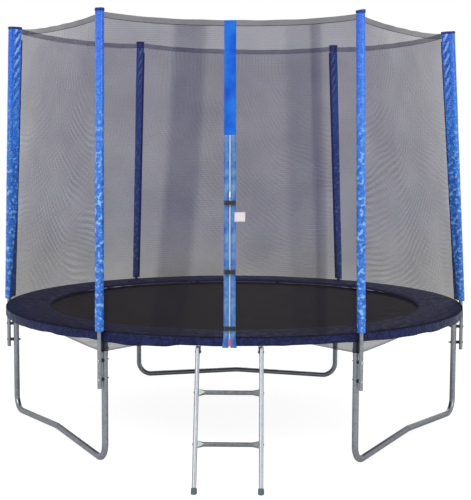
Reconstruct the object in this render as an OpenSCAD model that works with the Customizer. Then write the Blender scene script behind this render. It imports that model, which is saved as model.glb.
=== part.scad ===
// Round outdoor trampoline with a zipped safety net and a hook-on ladder.
// Millimetres, +Z up. The origin is on the ground under the middle of the frame.
// Azimuths are degrees about +Z, from -Y (the door side) towards +X.

/* [Frame] */
// Centreline radius of the round frame
ring_r = 1505; // [1300:5:1700]
// Outside diameter of frame and leg tube
rail_od = 38; // [34:1:42]
// Wall of every steel tube
tube_wall = 1.5; // [1.2:0.1:2.2]
// Height of the frame's centreline
ring_z = 746; // [700:1:900]
// Wall of the T sockets
socket_wall = 2; // [1.5:0.1:3]
// Length of a T socket along the frame
socket_len = 100; // [70:1:140]
// Drop of a T socket's stub below the frame's centreline
socket_drop = 106; // [70:1:125]
// Clearance between tubes that slide into each other
tube_fit = 0.2; // [0.1:0.05:0.4]

/* [Legs] */
// Half of the angle between the two uprights of one leg
leg_half_angle = 31.2; // [28:0.1:32]
// Height of the joint between base and uprights
leg_joint_z = 150; // [130:1:250]
// Length of the base's spigot inside an upright
leg_spigot = 60; // [40:1:90]
// Centreline radius of the bends at the base's corners
leg_bend_r = 95; // [70:1:110]
// Rise of the base bar from its corners to its middle
base_rise = 38; // [20:1:80]
// Centreline radius of the bend in the middle of the base bar
base_mid_r = 250; // [150:10:500]

/* [Enclosure poles] */
// Outside diameter of the poles
pole_od = 25; // [20:1:30]
// Space between a pole and its leg, filled by the spacers
pole_gap = 19.5; // [17:0.5:30]
// Height of the poles' lower ends
pole_bottom_z = 450; // [430:1:470]
// Height of the poles' upper ends
pole_top_z = 2600; // [2300:10:2900]
// Height at which a pole starts to lean inwards
pole_bend_z = 665; // [640:1:680]
// Centreline radius of that bend
pole_bend_r = 600; // [300:10:900]
// Height of the joint between the lower and the upper tube
pole_joint_z = 1500; // [1200:10:1800]
// Length of the upper tube's spigot
pole_spigot = 90; // [50:1:150]
// How far the net pulls each pole's top inwards, from the near right pole round
pole_pull = [54, 123, 140, 91, 61, 22];
// Outside diameter of the padded sleeves
sleeve_od = 53; // [45:1:58]
// Thickness of the sleeves' sheet
sleeve_wall = 1; // [0.6:0.1:2]
// Clearance between sleeve, foam and pole
foam_fit = 0.3; // [0.2:0.05:0.6]
// Height of the sleeves' lower ends
sleeve_bottom_z = 792; // [792:1:900]
// Length of the caps over the sleeves' tops
cap_len = 26; // [20:1:26]

/* [Pole bolts] */
// Height of the lower bolts
bolt_low_z = 500; // [485:1:520]
// Distance between the two bolts of a pole
bolt_gap = 110; // [90:1:110]
// Diameter of the bolts
bolt_d = 8; // [6:1:10]
// Clearance of a bolt in its holes
bolt_fit = 0.5; // [0.3:0.1:1]
// Length of thread past the nut
bolt_tail = 10; // [4:1:20]
// Diameter of the round spacers
spacer_d = 22; // [18:1:28]

/* [Springs and mat] */
// Springs on each of the six rails
springs_per_rail = 10; // [6:1:12]
// Angle from a leg to the nearest spring
spring_margin = 3.2; // [3:0.1:4]
// Outside diameter of the springs
spring_od = 20; // [14:1:22]
// Wire of the springs
spring_wire = 3.2; // [2.5:0.1:4]
// Length of the wound part
spring_coil_len = 110; // [80:1:130]
// Length of each hook outside the wound part
spring_hook_len = 14; // [12:1:20]
// Height of the mat's middle plane
mat_z = 748; // [746:1:749]
// Thickness of the mat
mat_t = 3; // [1:0.5:4]
// Width of the webbing round the mat
border_w = 45; // [30:1:60]
// Thickness of one layer of the webbing
border_t = 2; // [1:0.5:3]
// Length of the V rings
v_len = 36; // [30:1:44]
// Half width of the V rings
v_half = 19; // [16:1:24]
// Wire of the V rings
v_wire = 4; // [3:0.5:4.5]

/* [Spring pad] */
// Width of the pad over the springs
pad_w = 285; // [240:5:320]
// Thickness of the pad in its middle
pad_t = 21; // [16:1:24]
// Thickness of the pad at its two edges
pad_edge_t = 6; // [4:1:8]
// Thickness of the skirt sheet
skirt_t = 3; // [1:0.5:4]
// Drop of the skirt below the frame's centreline
skirt_drop = 17; // [10:1:40]
// Straps under the pad on each rail
straps_per_rail = 2; // [1:1:3]
// Width of those straps
strap_w = 25; // [15:1:40]

/* [Net] */
// Thickness of the net
net_t = 1; // [0.8:0.1:1.5]
// Drop of the net's top edge below the pole tops, at a pole
net_top_drop = 22; // [10:1:60]
// Sag of the top edge between two poles
net_sag = 45; // [0:1:120]
// Height of the hem band along the top
hem_h = 34; // [20:1:60]
// Height of the net's lower edge behind the skirt
net_low_mid_z = 745; // [742:1:750]
// Height of the net's lower edge at a pole
net_low_pole_z = 672; // [655:1:690]
// Share of a panel's width over which the lower edge drops towards a pole
net_low_reach = 0.2; // [0.1:0.05:0.4]
// Gaps across a whole net panel
net_cols = 5; // [3:1:5]
// Gaps up a net panel
net_rows = 9; // [5:1:10]

/* [Door] */
// Width of each tape beside the zip
tape_w = 30; // [20:1:45]
// Thickness of the tapes
tape_t = 1.5; // [0.8:0.1:3]
// Width of the zip between the tapes
zip_w = 9; // [6:0.5:14]
// Height of the zip's upper end
zip_top_z = 1905; // [1800:5:2200]
// Height of the zip's lower end
zip_low_z = 735; // [730:1:760]
// Height of the tapes' lower ends
tape_low_z = 722; // [700:1:730]
// Height of the slider at rest
slider_z = 1590; // [1400:5:1750]
// Length of the slider
slider_len = 16; // [10:1:24]
// Length of the slider's pull
pull_len = 34; // [20:1:50]
// Heights of the three buckles
buckle_zs = [829, 1142, 1526];
// Width of a closed buckle
buckle_w = 66; // [60:1:72]
// Height of a buckle
buckle_h = 24; // [18:1:32]
// Thickness of a buckle
buckle_t = 9; // [8:0.5:14]
// Width of the sewn-in tag
tag_w = 60; // [30:1:80]
// Height of the tag
tag_h = 54; // [30:1:80]
// Height of the tag's middle
tag_z = 1448; // [1350:1:1470]

/* [Ladder] */
// Distance between the ladder rails' centrelines
ladder_w = 358; // [300:1:420]
// Outside diameter of rails and rungs
ladder_od = 25; // [22:1:28]
// Lean of the ladder from upright, in degrees
ladder_lean = 30; // [24:1:32]
// Height of the rails' upper ends
ladder_top_z = 722; // [690:1:722]
// Height of the lower rung
rung_low_z = 235; // [180:1:260]
// Height of the upper rung
rung_top_z = 489; // [440:1:520]
// Thickness of the hooks
hook_t = 5; // [3:0.5:6]
// Width of the steel round the frame tube
hook_band = 4; // [3:0.5:4]
// Clearance of the hooks round the frame tube
hook_fit = 0.8; // [0.4:0.1:0.8]
// Length of the rubber feet
foot_len = 46; // [30:1:70]
// Wall of the rubber feet
foot_wall = 4; // [3:0.5:6]

/* [Hidden] */
$fn = 48;

// Azimuth of the six legs and poles, from the near right one round
AZ = [for (c = [60, 180, 300], s = [-1, 1]) c + s * leg_half_angle];
function around(a) = [sin(a), -cos(a)];
function next_az(i) = i < 5 ? AZ[i + 1] : AZ[0] + 360;

rail_r = rail_od / 2;
ring_in = ring_r - rail_r;
ring_out = ring_r + rail_r;
bore_eps = 1;
// Overlap of the stretches that make one bent tube, and how much fuller its bends are
lap = 2;
bend_more = 0.3;
// Length over which a tube's end is pressed down to its spigot
neck = 5;

// Poles
pole_r = ring_r + rail_r + pole_gap + pole_od / 2;
function lean(i) = atan(pole_pull[i] / (pole_top_z - pole_bend_z));
function bend_end_y(i) = -pole_r + pole_bend_r * (1 - cos(lean(i)));
function bend_end_z(i) = pole_bend_z + pole_bend_r * sin(lean(i));
function along(i, z) = (z - bend_end_z(i)) / cos(lean(i));
// Radius of a pole's centreline at height z
function pole_at(i, z) = -bend_end_y(i) - (z - bend_end_z(i)) * tan(lean(i));

// Layers outside the frame: hook band, net, skirt
soft_gap = 0.5;
seat = 0.3;
// Depth that the straight lines between the net's columns cut in
net_cut = 2;
net_r = ring_out + hook_fit + hook_band + soft_gap + net_cut;
skirt_r = net_r + net_t + soft_gap;
pad_out = net_r - net_cut - 2 * seat;
pad_in = pad_out - pad_w;
pad_z = ring_z + rail_r + socket_wall + tube_fit + seat;
skirt_top = pad_z + pad_edge_t + 4;
// The net turns in over the pad's edge between these heights
rim_low_z = pad_z + pad_edge_t + 1;
rim_z = sleeve_bottom_z - 2;

// Springs and mat
spring_z = mat_z + v_wire / 2 + 0.5 + spring_wire / 2;
hook_in = 8;
coil_out = ring_in - spring_hook_len;
coil_in = coil_out - spring_coil_len;
v_apex = coil_in - spring_hook_len + v_wire + 4;
mat_r = v_apex - v_len - 2;
function spring_az(i, k) =
  AZ[i] + spring_margin
  + k * (next_az(i) - AZ[i] - 2 * spring_margin) / (springs_per_rail - 1);

module at_az(a) { rotate([0, 0, a]) children(); }
module each_leg() { for (a = AZ) at_az(a) children(); }
module tube(od, h, wall = tube_wall) {
  difference() {
    cylinder(d = od, h = h);
    translate([0, 0, -bore_eps]) cylinder(d = od - 2 * wall, h = h + 2 * bore_eps);
  }
}
// Tube bent round the Z axis, from azimuth a0 to a1
module ring_arc(a0, a1, r, od, id = 0) {
  rotate([0, 0, a0 - 90]) rotate_extrude(angle = a1 - a0, $fn = 180)
    translate([r, 0]) difference() {
      circle(d = od);
      if (id > 0) circle(d = id);
    }
}

// ---------------------------------------------------------------- frame

module frame_rails() {
  half_gap = 0.06;
  color([0.68, 0.7, 0.72]) for (i = [0:5]) difference() {
    ring_z_up() ring_arc(AZ[i] + half_gap, next_az(i) - half_gap, ring_r,
                         rail_od, rail_od - 2 * tube_wall);
    for (k = [0:springs_per_rail - 1]) at_az(spring_az(i, k))
      translate([0, -ring_r + rail_r / 2, spring_z]) rotate([90, 0, 0])
        translate([0, 0, -rail_r]) cylinder(d = spring_wire + 2.4, h = rail_r);
  }
}
module ring_z_up() { translate([0, 0, ring_z]) children(); }

socket_od = rail_od + 2 * (socket_wall + tube_fit);
// The stub is a little slimmer than the sleeve that it grows from
stub_od = socket_od - 1.2;
socket_half = socket_len / 2 / ring_r * 180 / PI;
module t_sockets() {
  bore = rail_od + 2 * tube_fit;
  color([0.66, 0.68, 0.7]) for (a = AZ) difference() {
    union() {
      ring_z_up() ring_arc(a - socket_half, a + socket_half, ring_r, socket_od);
      at_az(a) translate([0, -ring_r, ring_z - socket_drop])
        cylinder(d = stub_od, h = socket_drop);
    }
    ring_z_up() ring_arc(a - 2 * socket_half, a + 2 * socket_half, ring_r, bore);
    at_az(a) translate([0, -ring_r, ring_z - socket_drop - bore_eps])
      cylinder(d = bore, h = socket_drop - rail_r - socket_wall + bore_eps);
    socket_screw_hole(a);
  }
}

// Leg base: two upturned ends, round corners and a bar that rises to its middle
leg_span = ring_r * sin(leg_half_angle);
bar_tilt = atan(base_rise / (leg_span - leg_bend_r));
bend_z = (rail_od + bend_more) / 2 + leg_bend_r;
corner_t = leg_span - leg_bend_r * (1 + sin(bar_tilt));
corner_z = bend_z - leg_bend_r * cos(bar_tilt);
mid_t = base_mid_r * sin(bar_tilt);
mid_z = corner_z + (corner_t - mid_t) * tan(bar_tilt);
spigot_od = rail_od - 2 * (tube_wall + tube_fit);
// Arc in the XZ plane about the origin, from angle a0 over a span
module arc_xz(a0, span, r, d) {
  rotate([90, 0, 0]) rotate([0, 0, a0]) rotate_extrude(angle = span, $fn = 96)
    translate([r, 0]) circle(d = d, $fn = 48);
}
module leg_path(d, end_d, step_z, extra) {
  for (s = [0, 1]) mirror([s, 0, 0]) {
    translate([leg_span, 0, bend_z - lap]) cylinder(d = d, h = step_z - bend_z + lap);
    translate([leg_span, 0, step_z - lap])
      cylinder(d = end_d, h = leg_joint_z + leg_spigot - step_z + extra + lap);
    translate([leg_span - leg_bend_r, 0, bend_z])
      arc_xz(-90 - bar_tilt, 90 + bar_tilt, leg_bend_r, d + bend_more);
    translate([corner_t, 0, corner_z]) rotate([0, bar_tilt - 90, 0]) translate([0, 0, -lap])
      cylinder(d = d, h = (corner_t - mid_t) / cos(bar_tilt) + 2 * lap);
  }
  translate([0, 0, mid_z - base_mid_r * cos(bar_tilt)])
    arc_xz(90 - bar_tilt, 2 * bar_tilt, base_mid_r, d + bend_more);
}
module leg_base(a) {
  color([0.66, 0.68, 0.7]) at_az(a)
    translate([0, -ring_r * cos(leg_half_angle), 0]) difference() {
      leg_path(rail_od, spigot_od, leg_joint_z, 0);
      leg_path(rail_od - 2 * tube_wall, spigot_od - 2 * tube_wall, leg_joint_z - neck, bore_eps);
    }
}
module leg_base_right() { leg_base(60); }
module leg_base_rear() { leg_base(180); }
module leg_base_left() { leg_base(300); }

upright_top = ring_z - rail_r - socket_wall - 1;
module leg_uprights() {
  color([0.68, 0.7, 0.72]) each_leg() difference() {
    translate([0, -ring_r, leg_joint_z]) tube(rail_od, upright_top - leg_joint_z);
    bolt_holes();
    socket_screw_bore();
  }
}

// A screw through each T socket's stub holds the upright
screw_d = 6;
screw_head = 3.5;
screw_z = ring_z - socket_drop + 42;
module socket_screw_bore() {
  translate([0, -ring_r, screw_z]) rotate([0, 90, 0])
    cylinder(d = screw_d + 2 * tube_fit, h = socket_od + 20, center = true);
}
module socket_screw_hole(a) { at_az(a) socket_screw_bore(); }
module socket_screws() {
  color([0.45, 0.46, 0.48]) each_leg() translate([0, -ring_r, screw_z]) rotate([0, 90, 0])
    translate([0, 0, -socket_od / 2 - screw_head]) {
      cylinder(d = 2 * screw_d, h = screw_head);
      cylinder(d = screw_d, h = socket_od + 2 * screw_head + 3);
      translate([0, 0, socket_od + screw_head]) cylinder(d = 2 * screw_d, h = screw_d, $fn = 6);
    }
}

// ---------------------------------------------------------------- enclosure poles

// Places children on pole i's leaning line, with z counted from the end of its bend
module on_pole(i) {
  at_az(AZ[i]) translate([0, bend_end_y(i), bend_end_z(i)]) rotate([-lean(i), 0, 0]) children();
}
module pole_path(i, d, extra) {
  at_az(AZ[i]) {
    translate([0, -pole_r, pole_bottom_z - extra])
      cylinder(d = d, h = pole_bend_z - pole_bottom_z + extra + lap);
    translate([0, -pole_r + pole_bend_r, pole_bend_z]) rotate([0, 0, 90]) rotate([90, 0, 0])
      rotate([0, 0, 180 - lean(i)]) rotate_extrude(angle = lean(i), $fn = 180)
        translate([pole_bend_r, 0]) circle(d = d + bend_more, $fn = 48);
  }
  on_pole(i) translate([0, 0, -lap]) cylinder(d = d, h = along(i, pole_joint_z) + extra + lap);
}
module poles_lower() {
  color([0.7, 0.72, 0.74]) for (i = [0:5]) difference() {
    pole_path(i, pole_od, 0);
    pole_path(i, pole_od - 2 * tube_wall, bore_eps);
    at_az(AZ[i]) bolt_holes();
  }
}
pole_spigot_od = pole_od - 2 * (tube_wall + tube_fit);
module poles_upper() {
  color([0.7, 0.72, 0.74]) for (i = [0:5]) on_pole(i) difference() {
    union() {
      translate([0, 0, along(i, pole_joint_z)])
        cylinder(d = pole_od, h = along(i, pole_top_z) - along(i, pole_joint_z));
      translate([0, 0, along(i, pole_joint_z) - pole_spigot])
        cylinder(d = pole_spigot_od, h = pole_spigot + 1);
    }
    translate([0, 0, along(i, pole_joint_z) - pole_spigot - bore_eps])
      cylinder(d = pole_spigot_od - 2 * tube_wall, h = pole_spigot + neck + lap);
    translate([0, 0, along(i, pole_joint_z) + neck])
      cylinder(d = pole_od - 2 * tube_wall, h = pole_top_z);
  }
}
module pole_foams() {
  color([0.2, 0.2, 0.22]) for (i = [0:5]) on_pole(i) translate([0, 0, along(i, sleeve_bottom_z)])
    tube(sleeve_od - 2 * (sleeve_wall + foam_fit), along(i, pole_top_z) - along(i, sleeve_bottom_z),
         sleeve_od / 2 - sleeve_wall - pole_od / 2 - 2 * foam_fit);
}
module sleeve(i) {
  color([0.08, 0.32, 0.85]) on_pole(i) translate([0, 0, along(i, sleeve_bottom_z)])
    tube(sleeve_od, along(i, pole_top_z) - along(i, sleeve_bottom_z), sleeve_wall);
}
module sleeve_near_right() { sleeve(0); }
module sleeve_right() { sleeve(1); }
module sleeve_rear_right() { sleeve(2); }
module sleeve_rear_left() { sleeve(3); }
module sleeve_left() { sleeve(4); }
module sleeve_near_left() { sleeve(5); }
module pole_caps() {
  cap_wall = 1.5;
  cap_top = 6;
  color([0.05, 0.1, 0.3]) for (i = [0:5]) on_pole(i) translate([0, 0, along(i, pole_top_z)])
    difference() {
      translate([0, 0, cap_top - cap_len])
        cylinder(d = sleeve_od + 2 * (cap_wall + foam_fit), h = cap_len);
      translate([0, 0, cap_top - cap_len - bore_eps])
        cylinder(d = sleeve_od + 2 * foam_fit, h = cap_len - cap_top + bore_eps + seat);
    }
}

// Two bolts and spacers hold each pole to its leg
bolt_zs = [bolt_low_z, bolt_low_z + bolt_gap];
bolt_out = pole_r + pole_od / 2;
bolt_in = ring_r - rail_r;
nut_h = 7;
module radial(z) { translate([0, 0, z]) rotate([90, 0, 0]) children(); }
module bolt_holes() {
  for (z = bolt_zs) radial(z) translate([0, 0, bolt_in - 30])
    cylinder(d = bolt_d + 2 * bolt_fit, h = bolt_out - bolt_in + 60);
}
module spacers() {
  reach = spacer_d;
  // Start of the round faces, away from the saddles' corners
  turn = 15;
  color([0.05, 0.05, 0.05]) each_leg() for (z = bolt_zs) difference() {
    radial(z) rotate([0, 0, turn]) translate([0, 0, ring_r])
      cylinder(d = spacer_d, h = pole_r - ring_r);
    translate([0, -ring_r, z - reach]) rotate([0, 0, 90])
      cylinder(d = rail_od + 2 * tube_fit, h = 2 * reach, $fn = 96);
    translate([0, -pole_r, z - reach]) rotate([0, 0, -90])
      cylinder(d = pole_od + 2 * tube_fit, h = 2 * reach, $fn = 96);
    radial(z) rotate([0, 0, turn]) translate([0, 0, bolt_in])
      cylinder(d = bolt_d + 2 * bolt_fit, h = bolt_out - bolt_in);
  }
}
module pole_bolts() {
  head_h = 5;
  color([0.6, 0.62, 0.64]) each_leg() for (z = bolt_zs) {
    radial(z) translate([0, 0, bolt_in - nut_h - bolt_tail])
      cylinder(d = bolt_d, h = bolt_out - bolt_in + nut_h + bolt_tail + 1);
    radial(z) translate([0, 0, bolt_out]) intersection() {
      cylinder(d = 2.2 * bolt_d, h = head_h);
      translate([0, 0, -bolt_d]) sphere(d = 3.1 * bolt_d, $fn = 48);
    }
  }
}
module pole_nuts() {
  color([0.12, 0.12, 0.13]) each_leg() for (z = bolt_zs)
    radial(z) translate([0, 0, bolt_in - nut_h]) difference() {
      cylinder(d = 1.9 * bolt_d, h = nut_h, $fn = 6);
      translate([0, 0, -bore_eps]) cylinder(d = bolt_d + 2 * tube_fit, h = nut_h + 2 * bore_eps);
    }
}

// ---------------------------------------------------------------- springs and mat

module each_spring() {
  for (i = [0:5], k = [0:springs_per_rail - 1]) at_az(spring_az(i, k)) children();
}
module springs() {
  tip = 7;
  color([0.6, 0.62, 0.64]) each_spring() {
    radial(spring_z) translate([0, 0, coil_in]) cylinder(d = spring_od, h = spring_coil_len);
    radial(spring_z) translate([0, 0, coil_out - 2])
      cylinder(d = spring_wire, h = spring_hook_len + hook_in + 2);
    radial(spring_z) translate([0, 0, v_apex - v_tip_in])
      cylinder(d = spring_wire, h = coil_in - v_apex + v_tip_in + 2);
    for (r = [ring_in + hook_in, v_apex - v_tip_in]) {
      translate([0, -r, spring_z]) sphere(d = spring_wire, $fn = 24);
      translate([0, -r, spring_z - tip]) cylinder(d = spring_wire, h = tip);
    }
  }
}

module jump_mat() {
  color([0.07, 0.07, 0.08]) translate([0, 0, mat_z - mat_t / 2]) cylinder(r = mat_r, h = mat_t, $fn = 180);
}
// V ring: the inner triangle is the outer one shrunk about its incentre
v_side = sqrt(v_half * v_half + v_len * v_len);
v_inradius = v_half * v_len / (v_half + v_side);
v_shrink = (v_inradius - v_wire) / v_inradius;
v_base = mat_r + 2;
v_points = [[-v_half, 0], [v_half, 0], [0, v_len]];
v_hole = [for (p = v_points) [p[0] * v_shrink, v_inradius + (p[1] - v_inradius) * v_shrink]];
// Depth of the spring's tip inside the V ring's point
v_tip_in = v_len - v_hole[2][1] + 5;
module v_rings() {
  color([0.62, 0.64, 0.66]) each_spring() translate([0, -v_base, mat_z - v_wire / 2])
    mirror([0, 1, 0]) linear_extrude(height = v_wire) difference() {
      polygon(v_points);
      polygon(v_hole);
    }
}
module mat_border() {
  tab_w = 22;
  tab_len = v_wire + 4.5;
  full_h = mat_t + 2 * border_t;
  slot_h = v_wire + 2 * seat;
  color([0.1, 0.1, 0.12]) union() {
    for (z = [mat_z + mat_t / 2, mat_z - mat_t / 2 - border_t]) translate([0, 0, z]) difference() {
      cylinder(r = mat_r + 1, h = border_t, $fn = 180);
      translate([0, 0, -bore_eps]) cylinder(r = mat_r - border_w, h = border_t + 2 * bore_eps, $fn = 180);
    }
    each_spring() difference() {
      translate([-tab_w / 2, -mat_r - tab_len, mat_z - full_h / 2]) cube([tab_w, tab_len - seat, full_h]);
      translate([-v_half - 1, -v_base - v_wire - seat, mat_z - slot_h / 2])
        cube([2 * v_half + 2, v_wire + 2 * seat, slot_h]);
    }
  }
}

// ---------------------------------------------------------------- pad

// Crowned section of the pad: thin sewn edges and a full middle
pad_steps = 12;
pad_section = concat(
  [[pad_in, pad_z], [pad_out, pad_z]],
  [for (k = [pad_steps:-1:0])
    [pad_in + pad_w * k / pad_steps,
     pad_z + pad_edge_t + (pad_t - pad_edge_t) * sqrt(max(0, sin(180 * k / pad_steps)))]]);
module spring_pad() {
  color([0.1, 0.11, 0.32]) difference() {
    rotate_extrude($fn = 180) polygon(pad_section);
    // Dents for the ladder hooks
    for (s = [-1, 1]) translate([s * hook_x - hook_t / 2 - 2, hook_y - hook_out - 2, pad_z - 1])
      cube([hook_t + 4, 2 * hook_out + 4, ring_z + hook_out + 1.5 - pad_z]);
  }
}
skirt_low = ring_z - skirt_drop;
module pad_skirt() {
  hem = 1.2;
  color([0.12, 0.13, 0.38]) rotate_extrude($fn = 180) polygon([
    [skirt_r, skirt_low], [skirt_r + skirt_t, skirt_low],
    [skirt_r + skirt_t, skirt_low + 8], [skirt_r + skirt_t - hem, skirt_low + 12],
    [skirt_r + skirt_t - hem, skirt_top - 10], [skirt_r + skirt_t, skirt_top - 6],
    [skirt_r + skirt_t - hem, skirt_top], [skirt_r, skirt_top]]);
}
module pad_straps() {
  strap_t = 1.2;
  strap_in = rail_od + 2 * seat;
  color([0.1, 0.11, 0.3]) for (i = [0:5], k = [1:straps_per_rail]) {
    // Midway between two springs
    a = spring_az(i, round(springs_per_rail * k / (straps_per_rail + 1)) - 0.5);
    half = strap_w / 2 / ring_r * 180 / PI;
    ring_z_up() ring_arc(a - half, a + half, ring_r, strap_in + 2 * strap_t, strap_in);
  }
}

// ---------------------------------------------------------------- net

// The net hangs as a straight-line surface from the chords between the poles
// down to the round pad. It turns out over the pad's edge and then hangs
// straight down behind the skirt.
sew_gap = 0.6;
net_top_z = pole_top_z - net_top_drop - hem_h;
function mix(a, b, t) = a + (b - a) * t;
function clamp01(t) = max(0, min(1, t));
// Net radius at a pole: it touches the sleeve's inner side
function sewn_r(i, z) = pole_at(i, z) - sleeve_od / 2 / cos(lean(i)) - seat - net_t;
function net_az(i, u) = mix(AZ[i], next_az(i), u);
function sagged(u, z, sag) = z - sag * 4 * u * (1 - u);
// Point of panel i's inner face at u across and height z, moved out by d
function net_point(i, u, z, d) =
  let(j = (i + 1) % 6, a = net_az(i, u),
      zz = max(z, rim_z),
      drop = clamp01((z - rim_low_z) / (rim_z - rim_low_z)),
      w = clamp01((zz - rim_z) / (net_top_z - rim_z)),
      r = mix(sewn_r(i, zz), sewn_r(j, zz), u),
      chord = mix(sewn_r(i, zz) * around(AZ[i]), sewn_r(j, zz) * around(next_az(i)), u),
      high = mix(r * around(a), chord, w),
      low = net_r * around(a),
      p = mix(low, high, drop) + d * around(a))
  [p[0], p[1], z];
// Height of the net's lower edge at u
function low_z(u) = mix(net_low_pole_z, net_low_mid_z, clamp01(min(u, 1 - u) / net_low_reach));
// Heights of a net column at u, from its lower edge to the top hem
function net_zs(u, rows) =
  let(zl = low_z(u), zt = sagged(u, net_top_z, net_sag))
  concat([zl, rim_low_z], [rim_z, rim_z + 30],
         [for (j = [1:2 * rows + 1]) mix(rim_z + 30, zt, j / (2 * rows + 1))]);

// Closed sheet between the surface points inner[i][j] and outer[i][j].
// Cells with void(i, j) true are left open.
module sheet(inner, outer, gaps = false, gap_from = 0) {
  nu = len(inner) - 1;
  nv = len(inner[0]) - 1;
  row = nv + 1;
  n = (nu + 1) * row;
  function solid(i, j) =
    i >= 0 && j >= 0 && i < nu && j < nv
    && !(gaps && i % 2 == 1 && j >= gap_from && j < nv && (j - gap_from) % 2 == 1);
  function id(i, j, out) = i * row + j + (out ? n : 0);
  function quad(a, b, c, d) = [[a, b, c], [a, c, d]];
  faces = [for (i = [0:nu - 1], j = [0:nv - 1]) if (solid(i, j)) each concat(
    quad(id(i, j, false), id(i, j + 1, false), id(i + 1, j + 1, false), id(i + 1, j, false)),
    quad(id(i, j, true), id(i + 1, j, true), id(i + 1, j + 1, true), id(i, j + 1, true)),
    solid(i - 1, j) ? []
      : quad(id(i, j, false), id(i, j, true), id(i, j + 1, true), id(i, j + 1, false)),
    solid(i + 1, j) ? []
      : quad(id(i + 1, j, false), id(i + 1, j + 1, false), id(i + 1, j + 1, true), id(i + 1, j, true)),
    solid(i, j - 1) ? []
      : quad(id(i, j, false), id(i + 1, j, false), id(i + 1, j, true), id(i, j, true)),
    solid(i, j + 1) ? []
      : quad(id(i, j + 1, false), id(i, j + 1, true), id(i + 1, j + 1, true), id(i + 1, j + 1, false)))];
  polyhedron(points = concat([for (c = inner) each c], [for (c = outer) each c]),
             faces = faces, convexity = 10);
}
// Share of a panel's width that a length near it takes
function share(i, len) = len / (2 * sewn_r(i, rim_z) * sin((next_az(i) - AZ[i]) / 2));
// Columns between u0 and u1, with as many gaps as cols
function columns(u0, u1, cols) = [for (k = [0:2 * cols + 1]) mix(u0, u1, k / (2 * cols + 1))];
function panel_edge(i) = share(i, sew_gap / 2);
// Net between u0 and u1 of panel i
module net_panel(i, u0, u1, cols) {
  us = columns(u0, u1, cols);
  color([0.45, 0.45, 0.48, 0.6]) sheet(
    [for (u = us) [for (z = net_zs(u, net_rows)) net_point(i, u, z, 0)]],
    [for (u = us) [for (z = net_zs(u, net_rows)) net_point(i, u, z, net_t)]],
    gaps = true, gap_from = 3);
}
module full_panel(i) { net_panel(i, panel_edge(i), 1 - panel_edge(i), net_cols); }
module net_right() { full_panel(0); }
module net_rear_right() { full_panel(1); }
module net_rear() { full_panel(2); }
module net_rear_left() { full_panel(3); }
module net_left() { full_panel(4); }
door_half = share(5, zip_w / 2 + seat);
door_cols = floor(net_cols / 2);
module net_front_left() { net_panel(5, panel_edge(5), 0.5 - door_half, door_cols); }
module net_front_right() { net_panel(5, 0.5 + door_half, 1 - panel_edge(5), door_cols); }
// Bands along the net's upper and lower edge, on the same columns as the net
low_hem_h = 12;
hem_t = 2;
function hem_columns(i) = i < 5
  ? columns(panel_edge(i), 1 - panel_edge(i), net_cols)
  : concat(columns(panel_edge(i), 0.5 - door_half, door_cols),
           columns(0.5 + door_half, 1 - panel_edge(i), door_cols));
function top_hem_zs(u) = let(z = sagged(u, net_top_z, net_sag)) [z + seat, z + hem_h];
function low_hem_zs(u) = [low_z(u) - low_hem_h, low_z(u) - seat];
module top_hem() {
  color([0.32, 0.32, 0.36]) for (i = [0:5]) sheet(
    [for (u = hem_columns(i)) [for (z = top_hem_zs(u)) net_point(i, u, z, net_t - hem_t)]],
    [for (u = hem_columns(i)) [for (z = top_hem_zs(u)) net_point(i, u, z, net_t)]]);
}
module bottom_hem() {
  color([0.2, 0.2, 0.24]) for (i = [0:5]) sheet(
    [for (u = hem_columns(i)) [for (z = low_hem_zs(u)) net_point(i, u, z, 0)]],
    [for (u = hem_columns(i)) [for (z = low_hem_zs(u)) net_point(i, u, z, net_t)]]);
}
// Cord loops that tie the lower hem to the T sockets' stubs
module net_ties() {
  cord = 2.4;
  color([0.08, 0.08, 0.1]) each_leg() translate([0, -ring_r, net_low_pole_z - 6])
    rotate_extrude($fn = 48) translate([stub_od / 2 + seat + cord / 2, 0]) circle(d = cord, $fn = 16);
}

// ---------------------------------------------------------------- door

// The door hangs on a straight line, from the pad's rim to the top hem
door_low = net_point(5, 0.5, rim_z, net_t);
door_high = net_point(5, 0.5, net_top_z - net_sag, net_t);
door_run = door_high - door_low;
door_tilt = atan(door_run[1] / sqrt(door_run[0] * door_run[0] + door_run[2] * door_run[2]));
door_side = atan(door_run[0] / door_run[2]);
function up_door(z) = (z - door_low[2]) / cos(door_tilt) / cos(door_side);
module on_door(z) {
  translate(door_low) rotate([-door_tilt, door_side, 0]) translate([0, 0, up_door(z)]) children();
}
// Flat strip on the door: x0 to x1 across, z0 to z1 up, lifted off the net
module strip(x0, x1, z0, z1, lift, t) {
  on_door(z0) translate([x0, -lift - t, 0]) cube([x1 - x0, t, up_door(z1) - up_door(z0)]);
}
net_lift = 0.8;
strip_low = rim_z + 6;
tape_out = zip_w / 2 + tape_w;
// Lower end of a strip, from x0 to x1: it steps out over the rim and hangs down
// in front of the skirt to height z
module strip_tail(x0, x1, z, t) {
  front = skirt_r + skirt_t + seat;
  step_h = 6;
  translate([x0, -front - t, z]) cube([x1 - x0, t, strip_low + step_h - z]);
  translate([x0, -front - t, strip_low - 3]) cube([x1 - x0, front + t + door_low[1] - net_lift, step_h]);
}
module door_tape_top() {
  color([0.08, 0.35, 0.9])
    strip(-tape_out, tape_out, zip_top_z + seat, net_top_z - net_sag + hem_h - 2, net_lift, tape_t);
}
module door_tape(x0, x1) {
  color([0.1, 0.38, 0.85]) {
    strip(x0, x1, strip_low - 3, zip_top_z, net_lift, tape_t);
    strip_tail(x0, x1, tape_low_z, tape_t);
  }
}
module door_tape_left() { door_tape(-tape_out, -zip_w / 2 - seat); }
module door_tape_right() { door_tape(zip_w / 2 + seat, tape_out); }
teeth_t = 2.5;
teeth_lift = net_lift - 0.5;
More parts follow.
